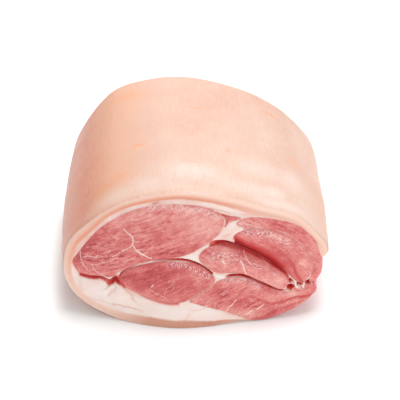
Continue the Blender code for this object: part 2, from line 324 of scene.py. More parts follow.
UPPER_LEFT = Muscle(
    grain=24,
    dome=1,
    dashes=1,
    tone=0.1,
    outline=(
        (-88.8, 46.6), (-84.8, 53.5), (-76.4, 66.7), (-66.5, 79.5), (-52.5, 91), (-38.2, 98.5),
        (-23.7, 102.4), (-7, 103.3), (9.2, 100.2), (18.2, 93.7), (20.8, 87), (16.5, 77.2), (4.5, 67),
        (-10, 59.5), (-27, 56.4), (-41, 51), (-54, 42.9), (-61.5, 38.3), (-75.5, 36), (-84.3, 37.3),
    ),
    veins=(
        (0.4, ((-50, 80.5), (-48, 78.2), (-44.5, 75.2), (-43.5, 71.9), (-44, 67.6), (-41.3, 63.6))),
        (0.75, ((-41.3, 63.6), (-38.5, 60.9), (-36.4, 59.8))),
        (0.45, ((-36.4, 59.8), (-33.5, 58.3), (-30.7, 56.9))),
        (0.22, ((-44, 67.6), (-47, 64.7), (-51.4, 61.6), (-55.1, 58.6), (-58.8, 56.3))),
        (0.22, ((-82.7, 58.7), (-82.7, 51.7), (-81, 45.8), (-78.2, 41.5))),
        (0.35, ((-81.2, 46.4), (-80.4, 44.4))), (0.25, ((-79, 42.4), (-77.9, 41.2))),
        (0.2, ((-74.5, 47.4), (-73.2, 43.2), (-70.4, 39.9), (-66.1, 38.8))),
        (0.22, ((-80.4, 51.9), (-75.8, 53.6), (-71.3, 53.1), (-69.8, 55.5))),
        (0.2, ((-44, 72), (-41.5, 70.6), (-39.5, 71.2))),
        (0.2, ((-41.3, 63.6), (-38, 64.4), (-35.6, 63.4))),
        (0.1, ((-71.3, 53.1), (-67.5, 54.2), (-63, 56.6), (-60.2, 60.3))),
        (0.1, ((-76, 46.5), (-70, 47.6), (-65, 50.6))), (0.05, ((-67.3, 62), (-62.1, 65.4), (-57, 66.9))),
        (0.05, ((-64.5, 58.1), (-60.1, 61.4), (-55.6, 63.7))),
        (0.05, ((-65.6, 49.2), (-60.4, 52.6), (-54.5, 56.1))), (0, ((-58, 46), (-52, 50.5), (-46, 55))),
        (-0.05, ((14.1, 94.9), (17.6, 91.5), (20, 87.2), (19.6, 83), (17, 78.8))),
    ),
    cracks=(
        (0.7, 0.9, ((-62.3, 56.9), (-60.2, 58.7))), (0.7, 0.7, ((-58.3, 59), (-53.7, 60.4))),
        (0.9, 1, ((-70.5, 57.5), (-66, 59.8))), (0.9, 1, ((-68.5, 52.6), (-62, 55))),
        (0.9, 1, ((-74, 50), (-69.5, 50.8))), (0.8, 0.9, ((-66, 64.5), (-60.5, 68))),
        (0.8, 0.6, ((-24.4, 86.5), (-20.7, 89.7))), (0.8, 0.7, ((-24.7, 73), (-17.1, 74.9))),
        (0.7, 0.4, ((-38.8, 62.3), (-28, 66.1))), (0.7, 0.6, ((-44, 77), (-35, 80.5))),
        (0.6, 0.5, ((-52, 73.5), (-47, 75))), (0.6, 0.5, ((-85.5, 52), (-84.6, 46.5), (-83, 41.3))),
    ),
    patches=(
        (9, 86, 15, 11, 30, 0.55), (-36, 70, 14, 7, 30, -0.12), (-24, 66.5, 5, 3, 20, 0.12),
        (-60, 90, 8, 4, 40, 0.1), (-14, 91, 24, 9, 10, 0.25), (-84, 51, 10, 5, 65, -0.4),
        (-77, 63, 16, 5, 55, -0.4), (-68, 52, 16, 8, 20, -0.18), (-64, 77, 14, 4, 50, -0.35),
        (-58, 84, 16, 6, 46, 0.32), (-80, 60, 12, 4, 52, -0.05), (-50, 72, 22, 8, 30, -0.05),
        # The pale patch at (-8, 99.5) is a painted highlight along the glistening top rim.
        (8, 71, 14, 4, 38, -0.1), (-22, 60, 20, 4, 14, -0.35), (-8, 99.5, 28, 3.5, -3, 0.4),
        (-52, 86, 18, 6, 40, 0.2), (-84, 42, 6, 5, 0, 0.1), (-48, 49, 10, 3, 25, -0.08),
    ),
    marbling=((-70, 54, 16, 11, 20, 1), (-32, 64, 10, 5, 20, 0.3), (-58, 70, 12, 6, 30, 0.4)),
    wet_and_glint=((2, 1, ((-32, 99.3), (-14, 101.3), (4, 98.8), (14, 94.2))),),
)
LOWER_LEFT = Muscle(
    grain=26,
    dome=0.8,
    dashes=0.35,
    tone=-0.2,
    outline=(
        (-55.7, 36), (-52.3, 41.7), (-42, 48.9), (-26.7, 54), (-11.5, 54.8), (-0.4, 53), (9.6, 45.8),
        (14.4, 40), (12.3, 34.4), (1.5, 26.5), (-4.5, 21.6), (-12, 19), (-21, 19.2), (-33.2, 22.6),
        (-45.4, 28.6), (-52.4, 32.6),
    ),
    veins=(
        (0.3, ((-31.2, 32.2), (-29.9, 34.1))), (0.1, ((-32, 29.5), (-28.4, 27.1), (-26.6, 26))),
        (0.15, ((-24.8, 24.8), (-20.4, 23.2))),
        (0, ((-21.8, 25.9), (-20.3, 31.1), (-16.6, 34.8), (-14.4, 39.3), (-10, 43))),
        (-0.05, ((-16, 27), (-12.3, 29.7), (-10.1, 31.5))), (-0.05, ((-46.5, 33.3), (-47.9, 34.9))),
        (-0.05, ((-2.8, 42.7), (4.4, 41.6), (12.3, 40.1))),
    ),
    cracks=((0.8, 0.5, ((-34, 37), (-26, 38))), (0.8, 0.4, ((-24, 46), (-16, 47)))),
    patches=(
        (-30, 40, 17, 8, 20, -0.5), (4, 42, 11, 6, -30, 0.25), (-8, 48, 12, 4, -15, 0.1),
        (-52, 38, 7, 4, 45, -0.25), (-38, 25.5, 16, 3.5, -22, 0.4), (-20, 21, 10, 2.5, 0, 0.3),
        (-4, 24, 10, 6, 30, 0.15),
    ),
    marbling=((-18, 33, 12, 9, 60, 0.7), (4, 38, 8, 6, 0, 0.6)),
    wet_and_glint=((2.2, 1, ((-18.6, 52.6), (-10, 52.2), (-2.8, 50.2), (4.4, 46), (9.5, 42.5))),),
)
CENTRE = Muscle(
    grain=-34,
    dome=1.4,
    dashes=0.5,
    tone=0.18,
    outline=(
        (3.2, 57.4), (5.2, 63.6), (10.4, 67.2), (18.5, 67.7), (29.5, 63.2), (40.4, 56.7), (51.5, 49.3),
        (61.4, 41.7), (67.2, 35.6), (68.4, 31), (66.1, 26.9), (60.9, 25.9), (49.7, 31.9), (39.9, 38),
        (33.5, 42.3), (25.5, 44.2), (16.5, 44.8), (7.8, 50.9),
    ),
    veins=(
        (0.1, ((20.1, 58.9), (20.8, 56.5), (21.5, 53.9), (22.3, 49.9))),
        (0.5, ((20.2, 55.6), (21.6, 53.6))), (0.1, ((22.6, 53.6), (25.1, 54.2))),
        (0.45, ((33, 54.9), (34.8, 52.1), (35.7, 47.4), (37.4, 42.2))),
        (0.15, ((35.1, 60), (37.3, 56), (40.3, 51.6), (43.2, 48.7), (46.9, 46.5))),
        (-0.05, ((44, 56), (50, 50), (56, 44))),
    ),
    cracks=((0.8, 0.5, ((24, 57), (28, 60))), (0.7, 0.5, ((43, 50), (50, 44)))),
    patches=(
        # The dark patches at (6.5, 62), (28, 61.5) and (38, 54) are painted shade below the crevice above.
        (6.5, 62, 5, 4, 0, -0.38), (28, 61.5, 8, 3, -25, -0.28), (60, 33, 12, 6, -40, 0.45),
        (40, 43, 15, 4, -32, 0.22), (24, 49, 13, 4, -10, 0.18), (38, 54, 10, 3.5, -36, -0.3),
        (50, 45, 8, 2.5, -38, -0.15),
    ),
    marbling=((24, 52, 10, 6, 0, 0.6),),
    wet_and_glint=(
        (5, 0.85, ((13, 60.5), (20, 59.5), (29, 57))), (3.2, 0.55, ((29, 57), (38, 53), (47, 47.5))),
        (2.2, 0.35, ((47, 47.5), (54, 43), (61, 37))),
    ),
)
UPPER_RIGHT = Muscle(
    grain=-40,
    dome=1.2,
    dashes=0.5,
    tone=-0.02,
    outline=(
        (27.6, 73.4), (29.2, 78), (36, 80.8), (46.2, 80.3), (56.4, 76.4), (66.7, 71.6), (75.7, 62.7),
        (82.7, 52.5), (86.9, 44.3), (86.5, 39.2), (83.3, 33), (79.3, 28.9), (76.3, 29.8), (71.9, 33.4),
        (66, 39.6), (56.9, 46.3), (46.5, 54), (36, 60.7), (30, 66.8),
    ),
    veins=(
        (-0.05, ((85.7, 44.7), (85.3, 39.4), (83.4, 32.9), (81, 29.9))),
        (-0.2, ((60, 68), (67, 61), (73, 53))),
    ),
    cracks=(
        (1.3, 1, ((60, 60.5), (66, 53.5), (70.6, 46.5), (73, 40.5), (76, 33.5), (77.6, 30.7))),
        (0.8, 0.5, ((48, 70), (55, 66))),
    ),
    patches=(
        (77, 46, 10, 5, -60, 0.38), (34, 72, 8, 5, -10, 0.22), (58, 57, 16, 4, -38, -0.3),
        (60, 70, 18, 4, -36, 0.25),
    ),
    wet_and_glint=((3, 1, ((36, 79), (46.8, 77.8), (54, 74.4), (61.3, 70.1), (66.5, 66.2))),),
)
OUTER_RIGHT = Muscle(
    grain=-36,
    dome=0.2,
    dashes=0.6,
    tone=0,
    outline=(
        (29.9, 87.2), (34.5, 90.2), (45.4, 90.4), (55.8, 87.8), (67.5, 83.2), (76.9, 76.6), (85.5, 65.2),
        (88.5, 53.8), (92, 44.5), (92.7, 36.5), (89.6, 30.3), (85, 28.6), (84.2, 31.5), (87.2, 39.8),
        (87.25, 44.9), (82.9, 53.1), (76.1, 62.9), (67.1, 72.2), (56.8, 76.9), (46.7, 80.9), (36.8, 82.5),
        (31, 84.6),
    ),
    veins=(
        (0.2, ((31, 86.5), (37.4, 85.3), (43.8, 82.8), (48.2, 80.6))),
        (-0.05, ((34.5, 89.3), (39.5, 87.6), (43.7, 86))),
        (0.1, ((58.2, 78.2), (65.5, 73.8), (73, 66.6), (78.6, 60))), (-0.1, ((45, 88.5), (56, 84.6))),
        (-0.1, ((66, 79.5), (74, 72.5))),
    ),
    cracks=((0.7, 0.5, ((52, 86), (62, 81.5))),),
    patches=(
        (36, 87, 10, 5, 0, 0.42), (90, 38, 5, 9, 0, 0.3), (70, 76, 14, 4, -40, -0.15),
        (52, 87.5, 12, 3, -12, 0.06), (84, 63, 9, 3.5, -62, 0.3),
    ),
    marbling=((40, 86, 14, 5, -10, 0.6), (72, 72, 12, 5, -45, 0.4)),
)
LOWER_RIGHT = Muscle(
    grain=30,
    dome=1,
    dashes=0.6,
    tone=0.12,
    outline=(
        (-3.4, 20.7), (4.1, 27.1), (12.4, 33.8), (17.5, 37.6), (23.9, 39.9), (30.5, 40.3), (36.2, 38.7),
        (43.8, 34.3), (53, 28.5), (59, 25.1), (66, 23.3), (75.5, 22.3), (80.8, 23.2), (84.8, 26.5),
        (88.3, 26.2), (90.1, 20.9), (86.3, 15.5), (77.6, 9.4), (66.5, 4.5), (55.8, 1.4), (48, 0.7),
        (41, 1.4), (34, 5), (22, 11.3), (10, 15.3), (1, 18.3),
    ),
    veins=(
        (0.35, ((23.4, 11.9), (25.6, 15), (28.5, 18.2), (30.7, 20.7))),
        (0.05, ((28.2, 20.5), (30.3, 21.2))), (0.45, ((38, 7), (40.6, 9.2), (42, 10.2))),
        (0.1, ((42.6, 10.6), (44.8, 11.9))), (0.45, ((46.3, 10.9), (50.6, 14.2))),
        (0.1, ((34.7, 5.2), (36.8, 8.6))), (-0.05, ((75.4, 19), (75.7, 12.5), (74.9, 9.3))),
        (-0.05, ((4, 21.5), (8, 23.2), (12, 24))), (0, ((2.5, 24.6), (7.5, 28.6), (12.6, 32.6))),
        (0.1, ((59.5, 12.2), (60.6, 12.9))),
    ),
    cracks=(
        (1, 1.35, ((57.3, 13.7), (61, 13.9), (65.4, 14.6), (70.6, 16.3), (75.9, 16.8), (80.4, 16.2),
            (86.5, 16.3))),
        (0.9, 0.9, ((40.9, 23.2), (45.3, 20.5), (49.8, 18.2), (54.3, 14.4))),
        (0.8, 0.6, ((30, 19), (38, 20))), (0.7, 0.5, ((14, 29), (20, 31))),
        (0.7, 0.8, ((64, 8.5), (72, 10.6), (80, 13.2))),
    ),
    patches=(
        (6, 26, 9, 6, 30, 0.15), (21.5, 26, 7, 5, 20, -0.45), (31, 20, 7, 4, 20, -0.35),
        (42, 16, 8, 3, -20, -0.35), (70, 20, 14, 3, 3, 0.4), (30, 9, 16, 3, -12, 0.3),
        (54, 24, 10, 4, -25, 0.22), (42, 8.5, 9, 3.5, 15, 0.3), (75, 12, 9, 3, 20, 0.15),
        (4, 20, 8, 4, -20, 0.3), (60, 6, 14, 3, 20, -0.3), (72, 13, 10, 2, 10, 0.2),
        (49, 3, 8, 3, 10, -0.35), (48, 30.5, 9, 2.5, -32, -0.35),
    ),
    marbling=((16, 21, 16, 8, 30, 0.9), (42, 14, 16, 9, 30, 0.8)),
    wet_and_glint=((2, 1, ((22, 38.2), (31.8, 38.9), (39.1, 36), (47, 30.5))),),
)
WEDGE = Muscle(
    grain=0,
    dome=0,
    dashes=0.2,
    tone=0.05,
    outline=(
        (18.4, 95.1), (22, 93.2), (26, 92.7), (30.5, 91.9), (32.8, 90.6), (29.5, 89.3), (26, 88.4),
        (24, 87.6), (23, 86), (22.3, 88.5), (21.2, 91.3),
    ),
)
MUSCLES = {
    "upper_left": UPPER_LEFT,
    "lower_left": LOWER_LEFT,
    "centre": CENTRE,
    "upper_right": UPPER_RIGHT,
    "outer_right": OUTER_RIGHT,
    "lower_right": LOWER_RIGHT,
    "wedge": WEDGE,
}

# Open seams between muscles: half width in the fat, and a line of x, z and depth.
CREVICES = {
    "upper": (3.3, ((13.5, 69.2, 1.5), (18, 69.2, 4.5), (22, 68.6, 7), (27.2, 66.2, 8.5),
        (35, 60.6, 9.2), (43.1, 55.1, 9.2), (52, 49.1, 8.6), (60.6, 42.4, 5.5), (66, 38, 2.6),
        (69, 35, 1))),
    "middle": (1.1, ((-30, 55.2, 1), (-19, 56.1, 1.5), (-11, 56.5, 2.4), (-4.3, 55.6, 3.4),
        (2.6, 52.5, 3.8), (8.2, 48.1, 3.9), (12.4, 44.4, 1.8))),
    "lower": (1.2, ((23.4, 41.2, 1), (26, 41.7, 2.8), (31, 41.6, 4.1), (36.5, 40.1, 4.5),
        (44, 35.3, 4.6), (52.7, 29.8, 4.6), (60, 25.4, 3), (64, 24.9, 1.4), (66.5, 24.9, 0.6))),
    "pit": (2, ((-62.5, 31.8, 1.5), (-60, 32.9, 3.5), (-57.5, 35.6, 6), (-55.9, 33.6, 3.5),
        (-53, 31.3, 1.2))),
    "join": (0.5, ((-54.5, 38.5, 3.2), (-52, 42.6, 2.4), (-47.5, 46.5, 1.6), (-41.7, 49.9, 0.7),
        (-34.4, 52.7, 0.4), (-27.2, 54.8, 0.6), (-19, 55.4, 0.9))),
    "left": (0.9, ((-84, 36.4, 0.8), (-79, 34.9, 2.2), (-72, 34.9, 2.4), (-66, 35.2, 2.4), (-62, 34, 2))),
}
# How a muscle's face falls away towards a seam: the reach, and whether it's a slope or a rounded edge.
FALLS = {
    ("upper_right", "upper"): (16, True),
    ("centre", "upper"): (4.6, False),
    ("centre", "middle"): (3.8, False),
    ("lower_left", "middle"): (3.4, False),
    ("centre", "lower"): (4, False),
    ("lower_right", "lower"): (4.6, False),
    ("lower_left", "pit"): (6, False),
    ("lower_left", "join"): (2.5, False),
    ("upper_left", "pit"): (5, False),
    ("upper_left", "left"): (3, False),
}

# The torn place on the right of the face: dark holes, painted a darker red the deeper they are as painted
# shade, each x, z, radius and depth, then shreds of fat, each half width, height and line.
PITS = (
    (69.9, 26.5, 2.5, 5.5), (70.2, 32, 1.5, 4.5), (76.6, 28.2, 1.8, 4.5), (83.4, 28.3, 2.1, 4.5),
    (61.5, 25.4, 1.1, 2.5), (78.6, 24.8, 0.7, 1.2), (73.4, 23.8, 0.8, 1.5), (81.6, 25.8, 0.6, 1.2),
)
SHREDS = (
    (0.8, 0.7, ((67.6, 39.4), (68.8, 37), (71, 34.4), (73.2, 31.6), (73.9, 28.8))),
    (0.6, 0.8, ((73.9, 28.8), (74.6, 26.6), (76.4, 25.2))),
    (0.4, 0.7, ((71, 34.4), (70.8, 31.4), (72.2, 29.4))),
    (0.6, 0.8, ((79.9, 29.2), (80.3, 27.2), (79.6, 24.8))),
    (0.4, 0.5, ((75, 26.6), (78, 26.4), (80.3, 27.2))), (0.5, 0.5, ((63.8, 25.6), (66.6, 26.2))),
    (0.3, 0.4, ((60.2, 26.2), (58.2, 27))), (1.1, 0.7, ((16, 42.6), (18.4, 42), (20.6, 41.2))),
    (0.6, 0.6, ((-66.1, 37.3), (-64, 35.9), (-61.8, 35.7), (-59.4, 37.8))),
)

# Lobes of fat: height, x, z, radius along and across, angle.
FAT_LOBES = (
    (2.3, -70, 26, 14, 6, -20),
    (1.9, -55, 22, 8, 5, -40),
    (0.9, -22, 11, 24, 6, 4),
    (0.8, 27, 81, 5, 6, 60),
)
# Creases and thin layers in the fat: depth, half width of the coloured line, redness, line.
FAT_LINES = (
    (1.4, 0.25, 0.8, ((-83.5, 35.2), (-79.7, 34.9), (-75.2, 34.6), (-70.7, 35.2), (-67, 34.6),
        (-63.5, 32.6))),
    (0.6, 0.3, 0.35, ((-62, 30.4), (-64.3, 27.6), (-66.6, 26.3))),
    (1, 0.4, 0.9, ((-55.6, 36.6), (-54.6, 33.5), (-52.5, 30.6))),
    (1.3, -0.15, 0.15, ((-58, 32), (-57.5, 28.5), (-61, 25.5), (-63.5, 21.5))),
    (1, -0.15, 0.15, ((-51, 29.5), (-46, 27.3), (-42, 24.5), (-38, 21.8))),
    (0.8, 0.15, 0.8, ((16.6, 46), (21.6, 44.9), (26.7, 44.4))),
    (0.9, 0.1, 0.35, ((-53.1, 30.9), (-51, 27.8), (-48.2, 24.7), (-46.1, 22.5), (-44.7, 19.2),
        (-42.5, 16.4))),
    (0.5, 0.1, 0.3, ((-49.6, 27.2), (-46.7, 24.6), (-43.8, 22.9), (-40.9, 21.5))),
    (0.6, 0.1, 0.6, ((-60.3, 13.2), (-54.4, 13.6), (-51.5, 12.9), (-47, 12.8), (-42.6, 11.7),
        (-38.9, 10.8))),
    (0.4, -0.05, 0.3, ((-79.9, 16.3), (-73, 15), (-67, 14.4), (-60.3, 13.2))),
    (0.4, -0.08, 0.2, ((-83.1, 51.4), (-83.7, 40), (-84.1, 30), (-84.2, 22.6), (-79.8, 19))),
    (0.3, -0.1, 0.2, ((-38.9, 10.8), (-35, 8.8), (-32.4, 7.2))),
    (0.3, -0.05, 0.2, ((-38.9, 17.1), (-40.2, 14.7), (-39.6, 12.4))),
    (0.4, 0, 0.3, ((-6.1, 7.6), (-4.1, 10.8), (-1.5, 12.6))),
    (0.3, 0, 0.3, ((-3.3, 14.1), (1.8, 13.3), (9.8, 15.7))), (0.3, 0.1, 0.5, ((-7.9, 4.6), (-6.8, 4.9))),
    (0.4, -0.05, 0.3, ((20.3, 75.5), (24.7, 78.3), (26.6, 80.1))),
    (0.4, 0.2, 0.8, ((30.6, 87), (32.2, 85.6))),
    (0.7, 0.3, 0.8, ((-28.8, 102.6), (-26.2, 103.9), (-25, 105))),
    (0.5, 0.1, 0.6, ((12, 99.8), (19, 97.3), (27, 94.6))),
    (0.5, 0.3, 0.7, ((21.6, 93), (22.8, 89.8), (22.6, 85.4))),
    (0.4, -0.05, 0.4, ((34, 94), (44, 92.6), (54, 90))),
)
# Seams where two muscles lie so close that the tissue between is thin and pink: half width, strength, line.
CLOSED_SEAMS = (
    (1.5, 0.8, ((36, 81.8), (46, 80.7), (57, 76.7), (67, 71.8), (76, 62.8), (83, 52.7), (87, 44),
        (86.5, 36))),
    (1.1, 0.7, ((-3, 21.5), (3, 26.8), (11.5, 33.6))), (1.2, 0.6, ((84.6, 31), (85.4, 27.4), (84, 25.5))),
)
# Red stains along a muscle's edge, some of them painted shadow below a muscle edge that overhangs the fat:
# reach, strength, line.
STAINS_AND_SHADOWS = (
    (1.3, 0.75, ((-83, 35.2), (-79.7, 34.9), (-75.2, 34.6), (-70.7, 35))),
    (0.8, 0.5, ((-70.7, 35), (-67, 34.4), (-64.1, 32.4))),
    (1, 0.7, ((-62.4, 30.4), (-60.5, 33), (-58.5, 35), (-56.5, 37.5))),
    (1.2, 0.5, ((-56, 37), (-54, 33), (-51, 29))), (1, 0.35, ((16.2, 96.1), (20.4, 94), (24, 93.2))),
    (0.8, 0.45, ((23.4, 90), (22.5, 87), (21.6, 84.6))),
    (1, 0.25, ((-52.7, 42), (-47.5, 45.4), (-41.7, 48.4), (-34.4, 51), (-27.2, 53.3), (-16, 54))),
    (1.2, 0.4, ((-64, 37.4), (-60, 38.4), (-56.5, 39.2))),
    (1.2, 0.14, ((2.5, 66.3), (6.5, 68.6), (10.5, 70.8))),
    (0.7, 0.35, ((-89.2, 46), (-87, 41), (-84.5, 37))),
    (1.2, 0.38, ((-55.5, 34), (-50, 29.6), (-40, 24.6), (-33.6, 21.7), (-21, 18.5), (-12, 18.5))),
    (0.7, 0.12, ((-84, 54.5), (-76, 66.6), (-66, 79.3), (-52, 90.3))),
    (0.7, 0.25, ((-3.5, 101.6), (9, 99.6), (18.4, 93.6))), (1, 0.15, ((84, 31.5), (87, 38), (88, 44))),
    (0.6, 0.4, ((-38, 52), (-27, 56.2), (-10, 59.8), (0, 64))), (1, 0.55, ((48, 0.8), (56, 1.2), (67, 4))),
    (0.9, 0.6, ((71.3, 46.9), (72.5, 43.2), (73.5, 38.6), (75.9, 33.7), (77.6, 30.7))),
    (1.3, 0.55, ((70, 25.1), (70.4, 24.6))), (1.3, 0.4, ((75.3, 23.3), (76, 23))),
    (1.4, 0.4, ((82.8, 23.2), (83.6, 24))),
)

# Where a whitish sheen, a painted highlight, lies on the skin: angle, share of the length, radius round the
# joint, radius along it, strength.
PAINTED_SKIN_SHEEN = (
    (92, 0.17, 26, 12, 0.65), (57, 0.11, 20, 9, 0.55), (30, 0.06, 22, 7, 0.75), (114, 0.09, 16, 8, 0.35),
    (44, 0.28, 22, 13, 0.5), (141, 0.07, 22, 9, 0.6), (156, 0.05, 14, 7, 0.35), (22, 0.12, 14, 8, 0.3),
    (40, 0.6, 18, 25, 0.3), (121, 0.09, 18, 11, 0.55), (47, 0.12, 14, 9, 0.6), (99, 0.04, 16, 7, 0.3),
    (78, 0.05, 14, 7, 0.25), (37, 0.13, 10, 9, 0.8), (27, 0.28, 10, 16, 0.7),
)
# Orange marks on the skin, told the same way.
SKIN_MARKS = (
    (38.5, 0.835, 3.2, 1.5, 0.9), (34.5, 0.84, 4.5, 2.4, 0.8), (23.5, 0.485, 5.5, 3, 0.6),
    (126, 0.4, 4.5, 2, 0.75), (66.5, 0.37, 1.6, 3.4, 0.7), (91, 0.695, 7, 2.2, 0.45),
    (138, 0.195, 7.5, 5, 0.45), (146, 0.175, 6, 5, 0.45), (89.5, 0.235, 6, 1.4, 0.4),
    (64, 0.16, 0.7, 0.7, 0.8), (132, 0.86, 12, 6, 0.4), (98, 0.03, 7, 3, 0.35), (10, 0.35, 16, 45, 0.14),
    (150, 0.12, 9, 9, 0.15),
)

# Round the joint, by angle: how rounded the rind's cut edge is, how wide the rind shows, how orange it is
# inside, how pale its colours are, how much painted shade darkens the rind's cut edge underneath, how pale
# the fat is just inside the rind, and how tanned the skin is, which also paints shade on the left side and
# underneath.
RIM_ROUNDS = ((0, 4.5), (190, 4.2), (215, 3.2), (235, 2.4), (308, 2.2), (330, 4.5))
RIM_WIDTHS = (
    (0, 3), (15, 2.8), (30, 5), (45, 6.2), (60, 5.4), (75, 4.7), (90, 4.3), (105, 3.7), (150, 3.7),
    (165, 5.3), (180, 5.8), (212, 6.4), (228, 8.2), (262, 8.4), (285, 5), (305, 2), (330, 3),
)
RIM_ORANGE = (
    (0, 0.3), (40, 0.4), (60, 0.75), (85, 1), (172, 1), (186, 0.6), (198, 0.1), (218, 0), (300, 0.5),
    (330, 0.3),
)
RIM_PALE = ((0, 0.95), (45, 0.92), (90, 0.89), (135, 0.94), (175, 1), (330, 1))
RIM_UNDERSIDE_SHADE = ((216, 0), (236, 0.9), (285, 1), (302, 0.6), (320, 0))
BAND_TONES = (
    (0, -0.75), (48, -0.6), (62, -0.2), (82, -0.3), (100, -0.5), (118, -0.9), (130, -0.4), (150, -0.5),
    (163, -0.95), (184, -0.85), (194, -0.05), (228, -0.1), (245, -0.4), (290, -0.1), (330, -0.7),
)
SKIN_TAN_AND_SHADE = (
    (0, 0.1), (25, 0), (100, 0), (118, 0.22), (137, 0.45), (147, 0.66), (155, 0.88), (163, 1), (250, 1),
    (350, 0.15),
)


# ---------------------------------------------------------------- mesh making


def on_face(points, loops):
    """Which of the points lie within the first loop and outside the others."""
    found = inside(points, loops[0])
    for hole in loops[1:]:
        found &= ~inside(points, hole)
    return found


def grid_points(loop, spacing):
    """A triangular grid over the loop's box, a little uneven."""
    low = loop.min(axis=0)
    high = loop.max(axis=0)
    rows = []
    for row, z in enumerate(np.arange(low[1], high[1], spacing * 0.87)):
        x = np.arange(low[0] + spacing / 2 * (row % 2), high[0], spacing)
        rows.append(np.stack([x, np.full(len(x), z)], axis=1))
    grid = np.concatenate(rows)
    jitter = np.random.default_rng(7).uniform(-0.18, 0.18, grid.shape)
    return grid + jitter * spacing


def face_mesh(loops, rings, spacing, marks):
    """Points and triangles over the first loop less the others. The loops' own points come first.

    rings gives, for each loop, how far in from it extra rings of points lie. Points also lie along the marks,
    which keeps those lines crisp.
    """
    kept = []
    for index, loop in enumerate(loops):
        step = outward(loop) * (-1 if index == 0 else 1)
        for ring in rings[index]:
            moved = loop + step * ring
            clear = on_face(moved, loops)
            for number, other in enumerate(loops):
                room = 0.93 * ring if number == index else 0.5 * spacing
                clear &= line_distance(moved, other, True) > room
            kept.append(moved[clear])
    lined = []
    for line in marks:
        clear = on_face(line, loops)
        for loop in loops:
            clear &= line_distance(line, loop, True) > 0.45 * spacing
        line = line[clear]
        for other in lined:
            line = line[point_gap(line, other) > 0.5 * spacing]
        if len(line):
            lined.append(line)
    grid = grid_points(loops[0], spacing)
    grid = grid[on_face(grid, loops)]
    for line in lined:
        grid = grid[point_gap(grid, line) > 0.6 * spacing]
    for loop, loop_rings in zip(loops, rings):
        last = max(loop_rings)
        room = last + 0.4 * spacing if last < 2 * spacing else 0.45 * spacing
        grid = grid[line_distance(grid, loop, True) > room]
    points = np.concatenate([*loops, *kept, *lined, grid])

    edges = []
    first = 0
    for loop in loops:
        count = len(loop)
        edges += [(first + index, first + (index + 1) % count) for index in range(count)]
        first += count
    flat = [Vector((float(x), float(z))) for x, z in points]
    result = delaunay_2d_cdt(flat, edges, [], 0, 1e-7)
    if len(result[0]) != len(points):
        raise ValueError("two points of a face fall together")
    sources = np.array([source[0] for source in result[3]])
    corners = sources[np.array(result[2])]
    return points, corners[on_face(points[corners].mean(axis=1), loops)]


def end_rows(near, middle):
    """Shares of the way through for a wall's rows: close together near the two faces, then `middle` rows."""
    close = np.array(near) / LENGTH
    between = np.linspace(close[-1], 1 - close[-1], middle + 2)[1:-1]
    return np.concatenate([close, between, (1 - close)[::-1]])


SIDE_ROWS = end_rows((0.8, 1.8, 3, 4.5, 6.5, 9), SIDE_ROW_COUNT)
HIDDEN_ROWS = end_rows((1.2, 3, 6), HIDDEN_ROW_COUNT)


class Solid:
    """A closed mesh between the two cut faces, and the numbers painted on it."""

    def __init__(self, loops, rings, spacing, marks):
        self.loops = loops
        self.flat, self.corners = face_mesh(loops, rings, spacing, marks)

    def build(self, name, relief_front, relief_back, rows, material):
        """Makes the object. rows gives, for each loop, its wall's rows as shares of the way through."""
        count = len(self.flat)
        sources = [np.arange(count), np.arange(count)]
        shares = [-relief_front / LENGTH, 1 + relief_back / LENGTH]
        faces = [tuple(corner) for corner in self.corners.tolist()]
        faces += [tuple(corner + count for corner in reversed(face)) for face in self.corners.tolist()]
        first = 0
        made = 2 * count
        for loop, wall_rows in zip(self.loops, rows):
            size = len(loop)
            here = np.arange(size)
            after = (here + 1) % size
            part = here + first
            start = -relief_front[part] / LENGTH
            end = 1 + relief_back[part] / LENGTH
            for row in wall_rows:
                sources.append(part)
                shares.append(start + (end - start) * row)
            levels = [first, *(made + size * index for index in range(len(wall_rows))), first + count]
            for near, far in zip(levels, levels[1:]):
                quads = np.stack([near + here, far + here, far + after, near + after], axis=1)
                faces += [tuple(quad) for quad in quads.tolist()]
            made += size * len(wall_rows)
            first += size
        self.source = np.concatenate(sources)
        self.share = np.concatenate(shares)
        points = flesh_point(self.flat[self.source], self.share)
        points[:, :2] -= DRAWN_MIDDLE

        mesh = bpy.data.meshes.new(name)
        mesh.from_pydata((points * MM).tolist(), [], faces)
        shell = bmesh.new()
        shell.from_mesh(mesh)
        bmesh.ops.recalc_face_normals(shell, faces=shell.faces)
        shell.to_mesh(mesh)
        shell.free()
        mesh.shade_smooth()
        mesh.materials.append(material)
        self.obj = bpy.data.objects.new(name, mesh)
        bpy.context.scene.collection.objects.link(self.obj)

    def paint(self, name, values):
        attribute = self.obj.data.attributes.new(name, "FLOAT", "POINT")
        attribute.data.foreach_set("value", np.asarray(values, np.float32))

    def paint_ends(self, front, back, reach):
        """Paints the numbers of the two cut faces, which fade over this reach along the walls."""
        wall = slice(2 * len(self.flat), None)
        source = self.source[wall]
        front_fade = bell(np.maximum(self.share[wall], 0) * LENGTH, reach)
        back_fade = bell(np.maximum(1 - self.share[wall], 0) * LENGTH, reach)
        for key in front:
            faded = front[key][source] * front_fade + back[key][source] * back_fade
            self.paint(key, np.concatenate([front[key], back[key], faded]))


# ---------------------------------------------------------------- muscles


def muscle_loop(name):
    """A muscle's outline, evenly spaced and a little uneven."""
    loop = evenly(smooth_loop(MUSCLES[name].outline, 12), EDGE_SPACING, True)
    uneven = 0.14 * flat_noise(loop, 6, 6, 0, 11 + list(MUSCLES).index(name))
    return loop + outward(loop) * uneven[:, None]


